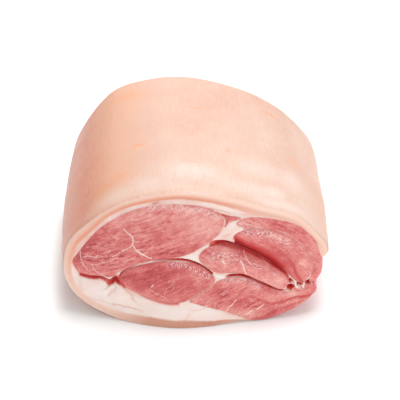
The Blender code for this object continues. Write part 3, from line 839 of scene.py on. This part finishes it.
def seam_at(flat, line):
    """Distance from a seam's line, and the seam's depth at the nearest spot of it."""
    fine = smooth_line(line, 5)
    start = fine[:-1]
    along = fine[1:, :2] - start[:, :2]
    off = flat[:, None, :] - start[None, :, :2]
    share = np.clip((off * along).sum(-1) / (along**2).sum(-1), 0, 1)
    distance = np.linalg.norm(off - share[..., None] * along, axis=-1)
    nearest_part = distance.argmin(axis=1)
    rows = np.arange(len(flat))
    share = share[rows, nearest_part]
    depth = start[nearest_part, 2] + (fine[nearest_part + 1, 2] - start[nearest_part, 2]) * share
    return distance[rows, nearest_part], depth


def stains_and_shadows(flat):
    """How strongly the red stains, and the painted shadows below overhanging muscle edges, show at each spot.
    """
    return strongest(flat, [strength * line_field(flat, line, reach) for reach, strength, line in STAINS_AND_SHADOWS])


def muscle_look(name, flat, distance, end):
    """Relief in mm, and the painted numbers, over one end of a muscle: 0 is the front one, 1 the back one."""
    muscle = MUSCLES[name]
    grain = muscle.grain
    seed = 100 + 10 * list(MUSCLES).index(name) + 5 * end
    # On the back face the same features have drifted a few millimetres.
    spot = flat + 4.0 * end * wander(flat, 14, seed + 7)

    fall = rim_fall(distance, MUSCLE_ROUNDING)
    blood_and_shade = stains_and_shadows(spot)
    for seam, (half_width, line) in CREVICES.items():
        if (name, seam) not in FALLS:
            continue
        reach, slope = FALLS[name, seam]
        off, depth = seam_at(flat, line)
        near = np.clip(1 - off / reach, 0, 1)
        profile = near**1.7 if slope else 1 - np.sqrt(1 - near**2)
        fall = np.hypot(fall, depth * profile)
        # Painted shade: the face turns a darker red towards a deep seam, over a wide reach where it slopes.
        dark = bell(off, 8.5 if slope else 0.14 * reach) * np.clip(depth / 5, 0, 1)
        blood_and_shade = np.maximum(blood_and_shade, (0.72 if slope else 0.80) * dark)
    relief = muscle.dome * (1 - np.exp(-distance / 8)) - fall

    inner = ease((distance - 0.6) / 3.0)
    streak = flat_noise(spot, 8.0, 1.5, grain, seed + 1, 3)
    mottle = flat_noise(spot, 11, 7, grain, seed + 2)
    fine = flat_noise(spot, 1.5, 0.9, grain, seed + 3)
    relief += inner * (0.16 * streak + 0.35 * mottle + 0.05 * fine)
    pale = np.zeros(len(flat))
    for *ellipse, value in muscle.patches:
        pale += value * ellipse_field(spot, *ellipse)
    tone = muscle.tone + pale + 0.16 * streak + 0.20 * mottle + 0.04 * fine
    streaky = muscle.dashes * ease(mottle + 0.7) * np.clip(1 - 1.6 * pale, 0.15, 1.2) * ease(distance / 4)
    dash = ease((flat_noise(spot, 5.0, 1.3, grain, seed + 4) - 0.30) / 0.25) * streaky
    tone -= 0.32 * dash
    relief -= 0.25 * dash

    # A vein's number is 1 at its edges, more inside it, and falls evenly outside.
    gaps = [half_width - line_distance(spot, loose_line(line)) for half_width, line in muscle.veins]
    vein = strongest(flat, [1 + gap / LINE_REACH for gap in gaps])
    relief += 0.12 * ease((vein - 0.8) / 0.2) * inner
    for width, strength, line in muscle.cracks:
        crack = strength * line_field(spot, line, width)
        relief -= 0.8 * crack
        tone -= 0.30 * crack
        blood_and_shade = np.maximum(blood_and_shade, 0.35 * crack)
    fields = [strength * line_field(spot, line, width) for width, strength, line in muscle.wet_and_glint]
    wet_and_glint = strongest(flat, fields)
    relief += 0.28 * wet_and_glint * flat_noise(flat, 1.5, 1.3, 0, seed + 14)
    fields = [strength * ellipse_field(spot, *ellipse) for *ellipse, strength in muscle.marbling]
    marbling = strongest(flat, fields)
    return relief, dict(tone=tone, vein=vein, blood_and_shade=blood_and_shade, wet_and_glint=wet_and_glint, streaky=streaky, marbling=marbling)


def add_muscle(name, loop, material):
    muscle = MUSCLES[name]
    marks = [loose_line(mark[-1]) for mark in (*muscle.veins, *muscle.cracks)]
    solid = Solid([loop], [MUSCLE_RINGS], FACE_SPACING * (0.6 if name == "wedge" else 1), marks)
    distance = line_distance(solid.flat, loop, True)
    front, front_paint = muscle_look(name, solid.flat, distance, 0)
    back, back_paint = muscle_look(name, solid.flat, distance, 1)
    at_side = name in ("outer_right", "lower_right")
    solid.build("meat_" + name, front, back, [SIDE_ROWS if at_side else HIDDEN_ROWS], material)
    solid.paint_ends(front_paint, back_paint, 7.0)
    return solid.obj


# ---------------------------------------------------------------- rind and fat


def nearest(loop, x, z):
    """The index of the loop's point nearest to x, z."""
    return int(np.hypot(loop[:, 0] - x, loop[:, 1] - z).argmin())


def part_of(loop, start, end):
    """The loop's points from the one nearest the start to the one nearest the end."""
    first = nearest(loop, *start)
    count = (nearest(loop, *end) - first) % len(loop) + 1
    return loop[(np.arange(count) + first) % len(loop)]


def rind_line():
    """The rind's outer edge on the front face, evenly spaced."""
    angles = np.radians(np.linspace(RIND_START, RIND_END, 1500))
    radius = radius_on(FRONT_CURVE, angles)
    line = np.stack([radius * np.cos(angles), CORE_HEIGHT + radius * np.sin(angles)], axis=1)
    return evenly(line, SKIN_STEP)


def fat_loops(loops):
    """The fat's outer edge, then the holes that muscles fill, and the rind's line."""
    grown = {name: loop + outward(loop) * FIT_GAP for name, loop in loops.items()}
    rind = rind_line()
    under = part_of(grown["lower_right"], (42.8, 1.0), (86.6, 27.3))
    over = part_of(grown["outer_right"], (86.4, 28.9), (89, 52.5))
    # The edge goes on from the rind under the lower muscle, through the notch, and back under the rind's lip.
    start = evenly(np.array([rind[-1], under[0]]), EDGE_SPACING)[1:-1]
    notch = evenly(np.array([under[-1], (85.9, 28.1), over[0]]), EDGE_SPACING)[1:-1]
    end = smooth_line([over[-1], (90.1, 50.2), (91.5, 49.4), (92.6, 50.0), rind[0]], 5)
    edge = np.concatenate([rind, start, under, notch, over, evenly(end, EDGE_SPACING)[1:-1]])
    holes = [grown[name] for name in ("upper_left", "lower_left", "centre", "upper_right", "wedge")]
    return [edge, *holes], rind


def edge_angle(flat):
    """Degrees round the joint, anticlockwise from +X as seen from the front."""
    return np.degrees(np.arctan2(flat[:, 1] - CORE_HEIGHT, flat[:, 0])) % 360


def by_angle(angle, table):
    """The value at an angle, from a table of degrees and values that goes once round."""
    degrees, values = zip(*table)
    return np.interp(angle, degrees, values, period=360)


def fat_look(flat, rind_depth, hole_distance, end):
    """Relief in mm, and the painted numbers, over one end of the fat."""
    seed = 400 + 20 * end
    spot = flat + 3.0 * end * wander(flat, 14, seed + 7)
    angle = edge_angle(flat)
    relief = -rim_fall(rind_depth, by_angle(angle, RIM_ROUNDS))
    relief -= SEAM_RECESS * ease((rind_depth - 7) / 9) + 0.06 * bell(hole_distance, 0.7)
    relief += 0.30 * bell(rind_depth - 6.4, 1.8) - 0.30 * bell(rind_depth - 4.4, 0.5)
    rough = 0.30 * flat_noise(spot, 9, 9, 0, seed + 1) + 0.07 * flat_noise(spot, 2, 2, 0, seed + 2)
    relief += ease((rind_depth - 3) / 3) * rough
    for height, *lobe in FAT_LOBES:
        relief += height * ellipse_field(spot, *lobe)

    tone = 0.42 * flat_noise(spot, 8, 4.5, 20, seed + 3, 3) + 0.10 * flat_noise(spot, 1.6, 1.6, 0, seed + 4)
    tone += by_angle(angle, BAND_TONES) * ease((by_angle(angle, RIM_WIDTHS) + 9 - rind_depth) / 6)
    tone -= 0.60 * ellipse_field(spot, 20, 73, 11, 6, 55)
    tone += 0.25 * ellipse_field(spot, -15, 10, 30, 6, 4)
    blush = bell(hole_distance, 1.1, 1) * ease(0.6 + 0.8 * flat_noise(spot, 8, 8, 0, seed + 5))
    blood_and_shade = stains_and_shadows(spot)
    crease = np.zeros(len(flat))
    redness = np.zeros(len(flat))
    closest = np.full(len(flat), 99.0)
    for depth, half_width, red, line in FAT_LINES:
        off = line_distance(spot, loose_line(line))
        off += 0.4 * bell(point_gap(spot, np.array(line[-1:])), 2.5)
        relief -= 0.55 * depth * bell(off, 0.55) + 0.45 * depth * bell(off, 2.2)
        # Painted shade: the fat is painted darker along each crease, the more so the deeper the crease.
        tone -= 0.55 * np.clip(depth, 0, 1) * bell(off, 1.6)
        crease = np.maximum(crease, 1 + (half_width - off) / LINE_REACH)
        redness = np.where(off - half_width < closest, red, redness)
        closest = np.minimum(closest, off - half_width)
    for half_width, line in CREVICES.values():
        off, depth = seam_at(flat, line)
        within = bell(off, half_width, 6)
        relief -= depth * within
        # Painted shade: the crevice floor is painted a darker red the deeper it is.
        blood_and_shade = np.maximum(blood_and_shade, within * np.clip(depth / 3, 0, 1))

    # The torn place, and seams of thin pink tissue.
    rough_edge = 0.5 * flat_noise(spot, 1.7, 1.0, 38, seed + 10)
    for x, z, radius, depth in PITS:
        off = np.hypot(spot[:, 0] - x, 1.1 * (spot[:, 1] - z)) + rough_edge
        pit = bell(np.maximum(off, 0), radius, 4)
        relief -= depth * pit
        # Painted shade: each hole is painted a darker red the deeper it is.
        blood_and_shade = np.maximum(blood_and_shade, pit * np.clip(depth / 3.5, 0, 1))
    meaty = ellipse_field(flat, 76, 27.0, 12, 5.5, -10)
    blood_and_shade = np.maximum(blood_and_shade, 0.25 * meaty * ease(0.5 + flat_noise(spot, 2.4, 1.6, -50, seed + 13)))
    white = np.zeros(len(flat))
    for half_width, height, line in SHREDS:
        off = line_distance(spot, loose_line(line)) + 0.7 * rough_edge
        shred = bell(np.maximum(off, 0), half_width, 3)
        relief += height * shred
        white = np.maximum(white, shred)
    for half_width, strength, line in CLOSED_SEAMS:
        closed = line_field(flat, line, half_width)
        relief += 0.1 * closed
        meaty = np.maximum(meaty, strength * closed)
    meaty = np.clip(meaty * 1.2, 0, 1) * (1 - white)
    relief += 0.45 * meaty * flat_noise(spot, 2.2, 1.3, -35, seed + 12)
    tone += 0.6 * white
    blood_and_shade = np.clip(blood_and_shade * (1 - 0.9 * white), 0, 1)
    blush = blush * (1 - white)
    return relief, dict(tone=tone, blood_and_shade=blood_and_shade, crease=crease, redness=redness, meaty=meaty, blush=blush)


def skin_field(table, angle, share):
    """How strongly the table's spots show on the skin."""
    radius = radius_on(FRONT_CURVE, np.radians(angle))
    fields = []
    for at, along, round_radius, length_radius, strength in table:
        arc = np.radians((angle - at + 180) % 360 - 180) * radius
        run = (share - along) * LENGTH
        fields.append(strength * bell(arc, round_radius) * bell(run, length_radius))
    return strongest(angle, fields)


def add_rind_and_fat(loops, material):
    edges, rind = fat_loops(loops)
    holes = edges[1:]
    marks = [loose_line(line) for *_, line in FAT_LINES]
    solid = Solid(edges, [RIM_RINGS] + [HOLE_RINGS] * len(holes), FACE_SPACING, marks)
    rind_depth = line_distance(solid.flat, rind)
    gaps = [line_distance(solid.flat, hole, True) for hole in holes]
    hole_distance = np.min([*gaps, line_distance(solid.flat, edges[0][len(rind) + 3 : -3])], axis=0)
    front, front_paint = fat_look(solid.flat, rind_depth, hole_distance, 0)
    back, back_paint = fat_look(solid.flat, rind_depth, hole_distance, 1)
    solid.build("rind_and_fat", front, back, [SIDE_ROWS] + [HIDDEN_ROWS] * len(holes), material)
    solid.paint_ends(front_paint, back_paint, 5.0)

    # Depth below the skin: negative and falling along the skin, growing from the rind's edge over the cut.
    angle = edge_angle(solid.flat[solid.source])
    depth = rind_depth[solid.source]
    behind = np.minimum(solid.share, 1 - solid.share) * LENGTH
    on_wall = np.arange(len(depth)) >= 2 * len(solid.flat)
    on_skin = on_wall & (solid.source < len(rind))
    solid.paint("depth", np.where(on_skin, -np.maximum(behind - RIM_ROUNDING, 0), depth))
    solid.paint("rim", np.where(on_skin, 0, depth / by_angle(angle, RIM_WIDTHS)))
    # The underside number paints shade on the rind's cut edge; the tan number also paints shade on the left
    # and below.
    for key, table in (("orange", RIM_ORANGE), ("pale", RIM_PALE), ("underside_shade", RIM_UNDERSIDE_SHADE), ("tan", SKIN_TAN_AND_SHADE)):
        solid.paint(key, by_angle(angle, table))
    solid.paint("mark", skin_field(SKIN_MARKS, angle, solid.share))
    # Painted highlight: a whitish sheen on the skin where the light catches it.
    solid.paint("painted_sheen", skin_field(PAINTED_SKIN_SHEEN, angle, solid.share))
    solid.paint("left", ease((angle - 150) / 20) * ease((225 - angle) / 20))
    return solid.obj


# ---------------------------------------------------------------- materials


class Shader:
    """A short way to write a material's nodes."""

    def __init__(self, name):
        self.material = bpy.data.materials.new(name)
        self.material.use_nodes = True
        self.tree = self.material.node_tree
        self.surface = self.tree.nodes["Principled BSDF"]
        self.place = self.scaled(self.add("TexCoord", "Object"), (1000, 1000, 1000))  # millimetres

    def join(self, source, socket):
        """Links the source to the socket, or sets the socket if the source is a number or some numbers."""
        if isinstance(source, (int, float)):
            socket.default_value = source
        elif isinstance(source, tuple):
            socket.default_value = (*source, 1.0) if len(socket.default_value) == 4 else source
        else:
            self.tree.links.new(source, socket)

    def add(self, kind, output, sources=(), **settings):
        """One output of a new node, which has these settings and sources."""
        made = self.tree.nodes.new("ShaderNode" + kind)
        for key, value in settings.items():
            setattr(made, key, value)
        for socket, source in dict(sources).items():
            self.join(source, made.inputs[socket])
        return made.outputs[output]

    def painted(self, *names):
        return [self.add("Attribute", "Fac", attribute_name=name) for name in names]

    def scaled(self, vector, scale):
        return self.add("VectorMath", 0, {0: vector, 1: scale}, operation="MULTIPLY")

    def turned(self, vector, degrees):
        """The vector turned about Y, so that its X runs along the grain."""
        sources = {"Vector": vector, "Angle": math.radians(degrees)}
        return self.add("VectorRotate", 0, sources, rotation_type="Y_AXIS")

    def math(self, operation, first, second=0.0, third=0.0):
        return self.add("Math", 0, {0: first, 1: second, 2: third}, operation=operation)

    def times(self, first, second):
        return self.math("MULTIPLY", first, second)

    def plus(self, first, second):
        return self.math("ADD", first, second)

    def noise(self, vector, scale, detail=3.0, rough=0.55, warp=0.0):
        """Noise from 0 to 1. The scale is one number, or one for each direction."""
        if isinstance(scale, tuple):
            vector, scale = self.scaled(vector, scale), 1.0
        sources = {"Vector": vector, "Scale": scale, "Detail": detail, "Roughness": rough, "Distortion": warp}
        return self.add("TexNoise", "Fac", sources)

    def cells(self, vector, scale):
        return self.add("TexVoronoi", "Distance", {"Vector": vector, "Scale": scale})

    def span(self, value, low, high, to_low=0.0, to_high=1.0, kind="LINEAR"):
        """The value's range from low to high, carried over to another range."""
        limits = {"From Min": low, "From Max": high, "To Min": to_low, "To Max": to_high}
        return self.add("MapRange", "Result", {"Value": value, **limits}, interpolation_type=kind)

    def step(self, value, low, high, to_low=0.0, to_high=1.0):
        return self.span(value, low, high, to_low, to_high, "SMOOTHSTEP")

    def swing(self, value, low, high):
        """A noise's usual range carried over to another range."""
        return self.span(value, 0.3, 0.7, low, high)

    def ramp(self, value, *stops):
        color = self.add("ValToRGB", "Color", {"Fac": value})
        elements = color.node.color_ramp.elements
        while len(elements) < len(stops):
            elements.new(1.0)
        for element, (position, shade) in zip(elements, stops):
            element.position = position
            element.color = (*shade, 1.0)
        return color

    def mix(self, share, first, second, blend="MIX"):
        return self.add("Mix", 2, {0: share, 6: first, 7: second}, data_type="RGBA", blend_type=blend)

    def bump(self, height, distance_mm, strength, onto=None):
        sources = {"Height": height, "Distance": distance_mm * MM, "Strength": strength}
        if onto is not None:
            sources["Normal"] = onto
        return self.add("Bump", 0, sources)

    def finish(self, color, roughness, normal, **numbers):
        """Joins the surface up and gives back the material."""
        self.join(color, self.surface.inputs["Base Color"])
        self.join(roughness, self.surface.inputs["Roughness"])
        self.join(normal, self.surface.inputs["Normal"])
        for key, value in numbers.items():
            self.surface.inputs[key.replace("_", " ")].default_value = value
        return self.material


def meat_material(name, grain):
    """Raw lean meat: dark and pale streaks along the grain, white threads, a moist surface, wet rims with
    painted glints, and red stains with painted shade towards crevices and below overhanging edges.
    """
    s = Shader("meat_" + name)
    along = s.turned(s.place, grain)
    streaks = s.noise(along, (0.07, 0.20, 0.26), 3.0, 0.55, 0.6)
    dashes = s.noise(along, (0.13, 0.42, 0.62), 2.0, 0.5, 0.8)
    fibres = s.noise(along, (0.15, 0.8, 0.8), 3.0, 0.6, 0.6)
    threads = s.noise(along, (0.06, 0.26, 0.26), 2.0, 0.5, 0.35)
    clouds = s.noise(s.place, 0.14)
    fine = s.noise(along, (0.65, 0.9, 0.95), 4.0, 0.7)
    beads = s.noise(s.turned(s.place, grain + 55), (0.55, 1.3, 1.3), 3.0, 0.65, 0.5)
    tone, vein, blood_and_shade = s.painted("tone", "vein", "blood_and_shade")
    wet_and_glint, streaky, marbling = s.painted("wet_and_glint", "streaky", "marbling")

    value = s.math("MULTIPLY_ADD", tone, 0.5, 0.5)
    for texture, swing in ((streaks, 0.11), (clouds, 0.12), (fibres, 0.12), (fine, 0.15)):
        value = s.plus(value, s.swing(texture, -swing, swing))
    value = s.math("MULTIPLY_ADD", s.times(s.step(dashes, 0.54, 0.64), streaky), -0.30, value)
    value = s.math("MULTIPLY_ADD", s.times(s.step(dashes, 0.46, 0.34), streaky), 0.14, value)
    lean = s.ramp(
        value,
        (0.0, (0.42, 0.028, 0.034)),
        (0.25, (0.58, 0.076, 0.080)),
        (0.5, (0.70, 0.172, 0.160)),
        (0.75, (0.81, 0.310, 0.275)),
        (1.0, (0.88, 0.475, 0.425)),
    )
    # Red stains and painted shade share one number: darker red along stains, towards crevices and below
    # overhangs.
    deep = s.ramp(blood_and_shade, (0.0, (0.64, 0.10, 0.085)), (0.5, (0.58, 0.026, 0.028)), (1.0, (0.46, 0.008, 0.010)))
    lean = s.mix(s.span(blood_and_shade, 0.0, 0.6, 0.0, 0.92), lean, deep)
    white = s.mix(fine, (0.88, 0.58, 0.52), (0.94, 0.80, 0.75))
    frayed = s.plus(vein, s.swing(s.noise(s.place, 1.1, 3.0, 0.7), -0.17, 0.12))
    color = s.mix(s.step(frayed, 0.82, 1.12, 0.0, 0.9), lean, white)
    thread = s.step(s.math("ABSOLUTE", s.math("SUBTRACT", threads, 0.5)), 0.004, 0.016, 1.0, 0.0)
    thread = s.times(thread, s.step(s.times(marbling, fine), 0.12, 0.42, 0.0, 0.6))
    color = s.mix(thread, color, white)
    # Painted highlight: pale glints mixed into the colour along the wet rims.
    glint = s.times(wet_and_glint, s.step(beads, 0.46, 0.62))
    color = s.mix(s.times(glint, 0.85), color, (0.97, 0.77, 0.74))

    normal = s.bump(streaks, 0.30, 0.45)
    normal = s.bump(fine, 0.16, 0.5, normal)
    normal = s.bump(beads, 0.8, s.times(wet_and_glint, 0.8), normal)
    roughness = s.span(s.math("SUBTRACT", fine, s.times(wet_and_glint, 0.45)), 0.0, 0.7, 0.18, 0.48)
    return s.finish(
        color,
        roughness,
        normal,
        Subsurface_Weight=0.25,
        Subsurface_Radius=(1.0, 0.22, 0.18),
        Subsurface_Scale=0.0025,
        Specular_IOR_Level=0.45,
        Coat_Weight=0.20,
        Coat_Roughness=0.14,
    )


def skin_color(s, brushed, fine, left):
    """Skin: whitish where a sheen is painted, tanned at the sides and painted darker there as shade on the
    left side and underneath, pink on the left, with orange marks and hair roots.
    """
    tan, painted_sheen, mark = s.painted("tan", "painted_sheen", "mark")
    broad = s.noise(s.place, 0.022, 3.0, 0.55, 0.3)
    skin = s.ramp(
        s.plus(s.swing(broad, 0.1, 0.75), s.swing(brushed, -0.20, 0.20)),
        (0.0, (0.58, 0.34, 0.255)),
        (0.5, (0.62, 0.405, 0.32)),
        (1.0, (0.655, 0.465, 0.38)),
    )
    # Tan, and painted shade: the skin turns browner and darker towards the left side and underneath.
    tanned_and_shaded = s.ramp(
        s.plus(tan, s.swing(brushed, -0.08, 0.08)),
        (0.2, (0.64, 0.405, 0.31)),
        (0.5, (0.72, 0.405, 0.28)),
        (0.85, (0.67, 0.295, 0.178)),
        (1.0, (0.60, 0.208, 0.120)),
    )
    skin = s.mix(s.span(tan, 0.0, 0.4), skin, tanned_and_shaded)
    # Painted highlight: the skin turns whitish where the sheen is painted.
    skin = s.mix(s.times(painted_sheen, s.swing(brushed, 0.8, 1.15)), skin, (0.72, 0.585, 0.52))
    pink = s.mix(s.noise(s.place, 0.07, 2.0), (0.58, 0.23, 0.155), (0.72, 0.34, 0.25))
    skin = s.mix(s.times(left, 0.6), skin, pink)
    skin = s.mix(s.times(mark, s.span(fine, 0.2, 0.6, 0.55, 1.0)), skin, (0.76, 0.30, 0.14))
    roots = s.step(s.cells(s.scaled(s.place, (0.50, 0.22, 0.50)), 1.0), 0.10, 0.30, 1.0, 0.0)
    return s.mix(s.times(roots, s.math("MULTIPLY_ADD", left, 0.55, 0.05)), skin, (0.34, 0.17, 0.17))


def fat_color(s, fine):
    """Creamy fat with creases, pink edges, thin lean tissue, red stains, and red hollows darkened by painted
    shade.
    """
    tone, blood_and_shade, crease, redness = s.painted("tone", "blood_and_shade", "crease", "redness")
    meaty, blush = s.painted("meaty", "blush")
    fat = s.ramp(
        s.math("MULTIPLY_ADD", tone, 0.6, 0.68),
        (0.0, (0.84, 0.48, 0.42)),
        (0.3, (0.89, 0.63, 0.56)),
        (0.6, (0.92, 0.745, 0.68)),
        (1.0, (0.94, 0.83, 0.775)),
    )
    fat = s.mix(s.times(blush, 0.75), fat, (0.80, 0.40, 0.35))
    frayed = s.plus(crease, s.swing(fine, -0.10, 0.10))
    line_color = s.ramp(
        redness,
        (0.2, (0.84, 0.58, 0.49)),
        (0.6, (0.74, 0.33, 0.26)),
        (1.0, (0.48, 0.05, 0.04)),
    )
    fat = s.mix(s.step(frayed, 0.72, 1.10, 0.0, 0.9), fat, line_color)
    lean = s.ramp(
        s.noise(s.place, 0.55),
        (0.3, (0.58, 0.09, 0.08)),
        (0.5, (0.74, 0.23, 0.20)),
        (0.72, (0.92, 0.56, 0.48)),
    )
    fat = s.mix(s.times(meaty, 0.95), fat, lean)
    # Red stains and painted shade share one number: darker red along stains, in hollows and below overhangs.
    deep = s.ramp(
        blood_and_shade,
        (0.0, (0.80, 0.36, 0.31)),
        (0.35, (0.70, 0.13, 0.105)),
        (0.7, (0.62, 0.030, 0.024)),
        (1.0, (0.48, 0.010, 0.012)),
    )
    return s.mix(s.span(blood_and_shade, 0.0, 0.4), fat, deep)


def cut_rind_color(s, within, fine):
    """The rind's cut edge: an orange band inside, and a darker brown underneath that is painted shade."""
    orange, pale, underside_shade = s.painted("orange", "pale", "underside_shade")
    rind = s.mix(fine, (0.86, 0.58, 0.47), (0.93, 0.66, 0.55))
    deep_rind = s.mix(fine, (0.87, 0.33, 0.20), (0.93, 0.41, 0.27))
    rind = s.mix(s.times(s.step(within, 0.2, 0.95), orange), rind, deep_rind)
    # Painted shade: the rind's cut edge turns a darker brown underneath.
    shaded_rind = s.mix(fine, (0.58, 0.25, 0.165), (0.69, 0.34, 0.235))
    return s.mix(1.0, s.mix(underside_shade, rind, shaded_rind), pale, "MULTIPLY")


def rind_fat_material():
    """Skin outside, a cut edge of rind, and fat within."""
    s = Shader("rind_fat")
    depth, rim, left = s.painted("depth", "rim", "left")
    brushed = s.noise(s.place, (0.55, 0.14, 0.55), 3.0, 0.6, 0.6)
    fine = s.noise(s.place, 0.9, 4.0, 0.65)
    waver = s.noise(s.place, 0.35, 2.0)
    within = s.plus(rim, s.span(waver, 0.2, 0.8, -0.05, 0.05))
    cut = s.mix(s.step(within, 1.0, 1.3), cut_rind_color(s, within, fine), fat_color(s, fine))
    at = s.plus(depth, s.span(waver, 0.2, 0.8, -0.2, 0.2))
    color = s.mix(s.step(at, 0.0, 1.2), skin_color(s, brushed, fine, left), cut)

    on_skin = s.span(depth, 0.2, 1.2, 1.0, 0.0)
    normal = s.bump(brushed, 0.5, s.times(on_skin, 0.35))
    normal = s.bump(s.cells(s.place, 0.75), 0.28, s.times(on_skin, 0.5), normal)
    normal = s.bump(fine, 0.22, 0.45, normal)
    return s.finish(
        color,
        s.span(fine, 0.25, 0.75, 0.38, 0.50),
        normal,
        Subsurface_Weight=0.25,
        Subsurface_Radius=(1.0, 0.45, 0.3),
        Subsurface_Scale=0.0025,
        Specular_IOR_Level=0.45,
        Coat_Weight=0.12,
        Coat_Roughness=0.30,
    )


# ---------------------------------------------------------------- the pieces

outlines = {name: muscle_loop(name) for name in MUSCLES}
rind_object = add_rind_and_fat(outlines, rind_fat_material())
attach(rind_object, "root")
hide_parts("rind_fat")
for name in MUSCLES:
    piece = add_muscle(name, outlines[name], meat_material(name, MUSCLES[name].grain))
    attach(piece, "root")
    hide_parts("muscle_" + name)


# ---------------------------------------------------------------- floor, light, camera

FLOOR_SIZE = 6.0
FLOOR_DROP = 0.0003  # just under the joint
TENT_LEVEL = 0.565
TENT_TILT = 0.10  # how much brighter the right side is
SENSOR_WIDTH = 36.0
FOCAL_LENGTH = 3.105 * SENSOR_WIDTH
CAMERA_ELEVATION = math.radians(37.0)
CAMERA_DISTANCE = 0.95
LOOKED_AT = (4.0, 0, 52.95)  # as drawn, in millimetres


def add_object(name, data):
    obj = bpy.data.objects.new(name, data)
    bpy.context.scene.collection.objects.link(obj)
    return obj


def add_floor():
    size = FLOOR_SIZE
    mesh = bpy.data.meshes.new("floor")
    corners = [(-size, -size, 0), (size, -size, 0), (size, size, 0), (-size, size, 0)]
    mesh.from_pydata(corners, [], [(0, 1, 2, 3)])
    floor = add_object("floor", mesh)
    floor.location.z = -FLOOR_DROP
    material = bpy.data.materials.new("floor")
    material.use_nodes = True
    shader = material.node_tree.nodes["Principled BSDF"]
    shader.inputs["Base Color"].default_value = (0.92, 0.94, 0.94, 1)
    shader.inputs["Roughness"].default_value = 0.9
    shader.inputs["Specular IOR Level"].default_value = 0.0
    # The background is overexposed, so only the shadow's darker parts show.
    shader.inputs["Emission Color"].default_value = (1, 1, 1, 1)
    shader.inputs["Emission Strength"].default_value = 0.06
    mesh.materials.append(material)


def aim(obj, place, target):
    """Puts a lamp or camera at a place, looking at the target."""
    obj.location = place
    obj.rotation_euler = (Vector(target) - Vector(place)).to_track_quat("-Z", "Y").to_euler()


def add_light(name, place, target, size, power):
    light = bpy.data.lights.new(name, "AREA")
    light.shape = "RECTANGLE"
    light.size, light.size_y = size
    light.energy = power
    aim(add_object(name, light), place, target)


def studio_world():
    """A pale tent all round, a little brighter towards the right."""
    world = bpy.data.worlds.new("studio")
    world.use_nodes = True
    tree = world.node_tree
    place = tree.nodes.new("ShaderNodeTexCoord")
    parts = tree.nodes.new("ShaderNodeSeparateXYZ")
    tree.links.new(place.outputs["Generated"], parts.inputs[0])
    side = tree.nodes.new("ShaderNodeMath")
    side.operation = "MULTIPLY_ADD"
    tree.links.new(parts.outputs["X"], side.inputs[0])
    side.inputs[1].default_value = TENT_TILT
    side.inputs[2].default_value = TENT_LEVEL
    back = tree.nodes["Background"]
    back.inputs["Color"].default_value = (1, 1, 1, 1)
    tree.links.new(side.outputs[0], back.inputs["Strength"])
    return world


def add_camera():
    camera = bpy.data.cameras.new("camera")
    camera.sensor_width = SENSOR_WIDTH
    camera.lens = FOCAL_LENGTH
    camera.clip_end = 20
    view = add_object("camera", camera)
    target = (Vector(LOOKED_AT) - Vector((*DRAWN_MIDDLE, 0))) * MM
    back = Vector((0, -math.cos(CAMERA_ELEVATION), math.sin(CAMERA_ELEVATION)))
    aim(view, target + CAMERA_DISTANCE * back, target)
    bpy.context.scene.camera = view


scene = bpy.context.scene
scene.view_settings.view_transform = "Standard"
scene.view_settings.look = "None"
scene.world = studio_world()
add_floor()
add_light("key", (0.13, 0.16, 1.24), (0, 0, 0.06), (0.5, 0.5), 11.2)
add_light("back", (0.12, 0.85, 0.95), (0, 0, 0.06), (1.0, 0.4), 3.5)
add_light("front", (0.65, -1.15, 0.8), (0, 0, 0.05), (1.2, 0.8), 4.2)
add_camera()
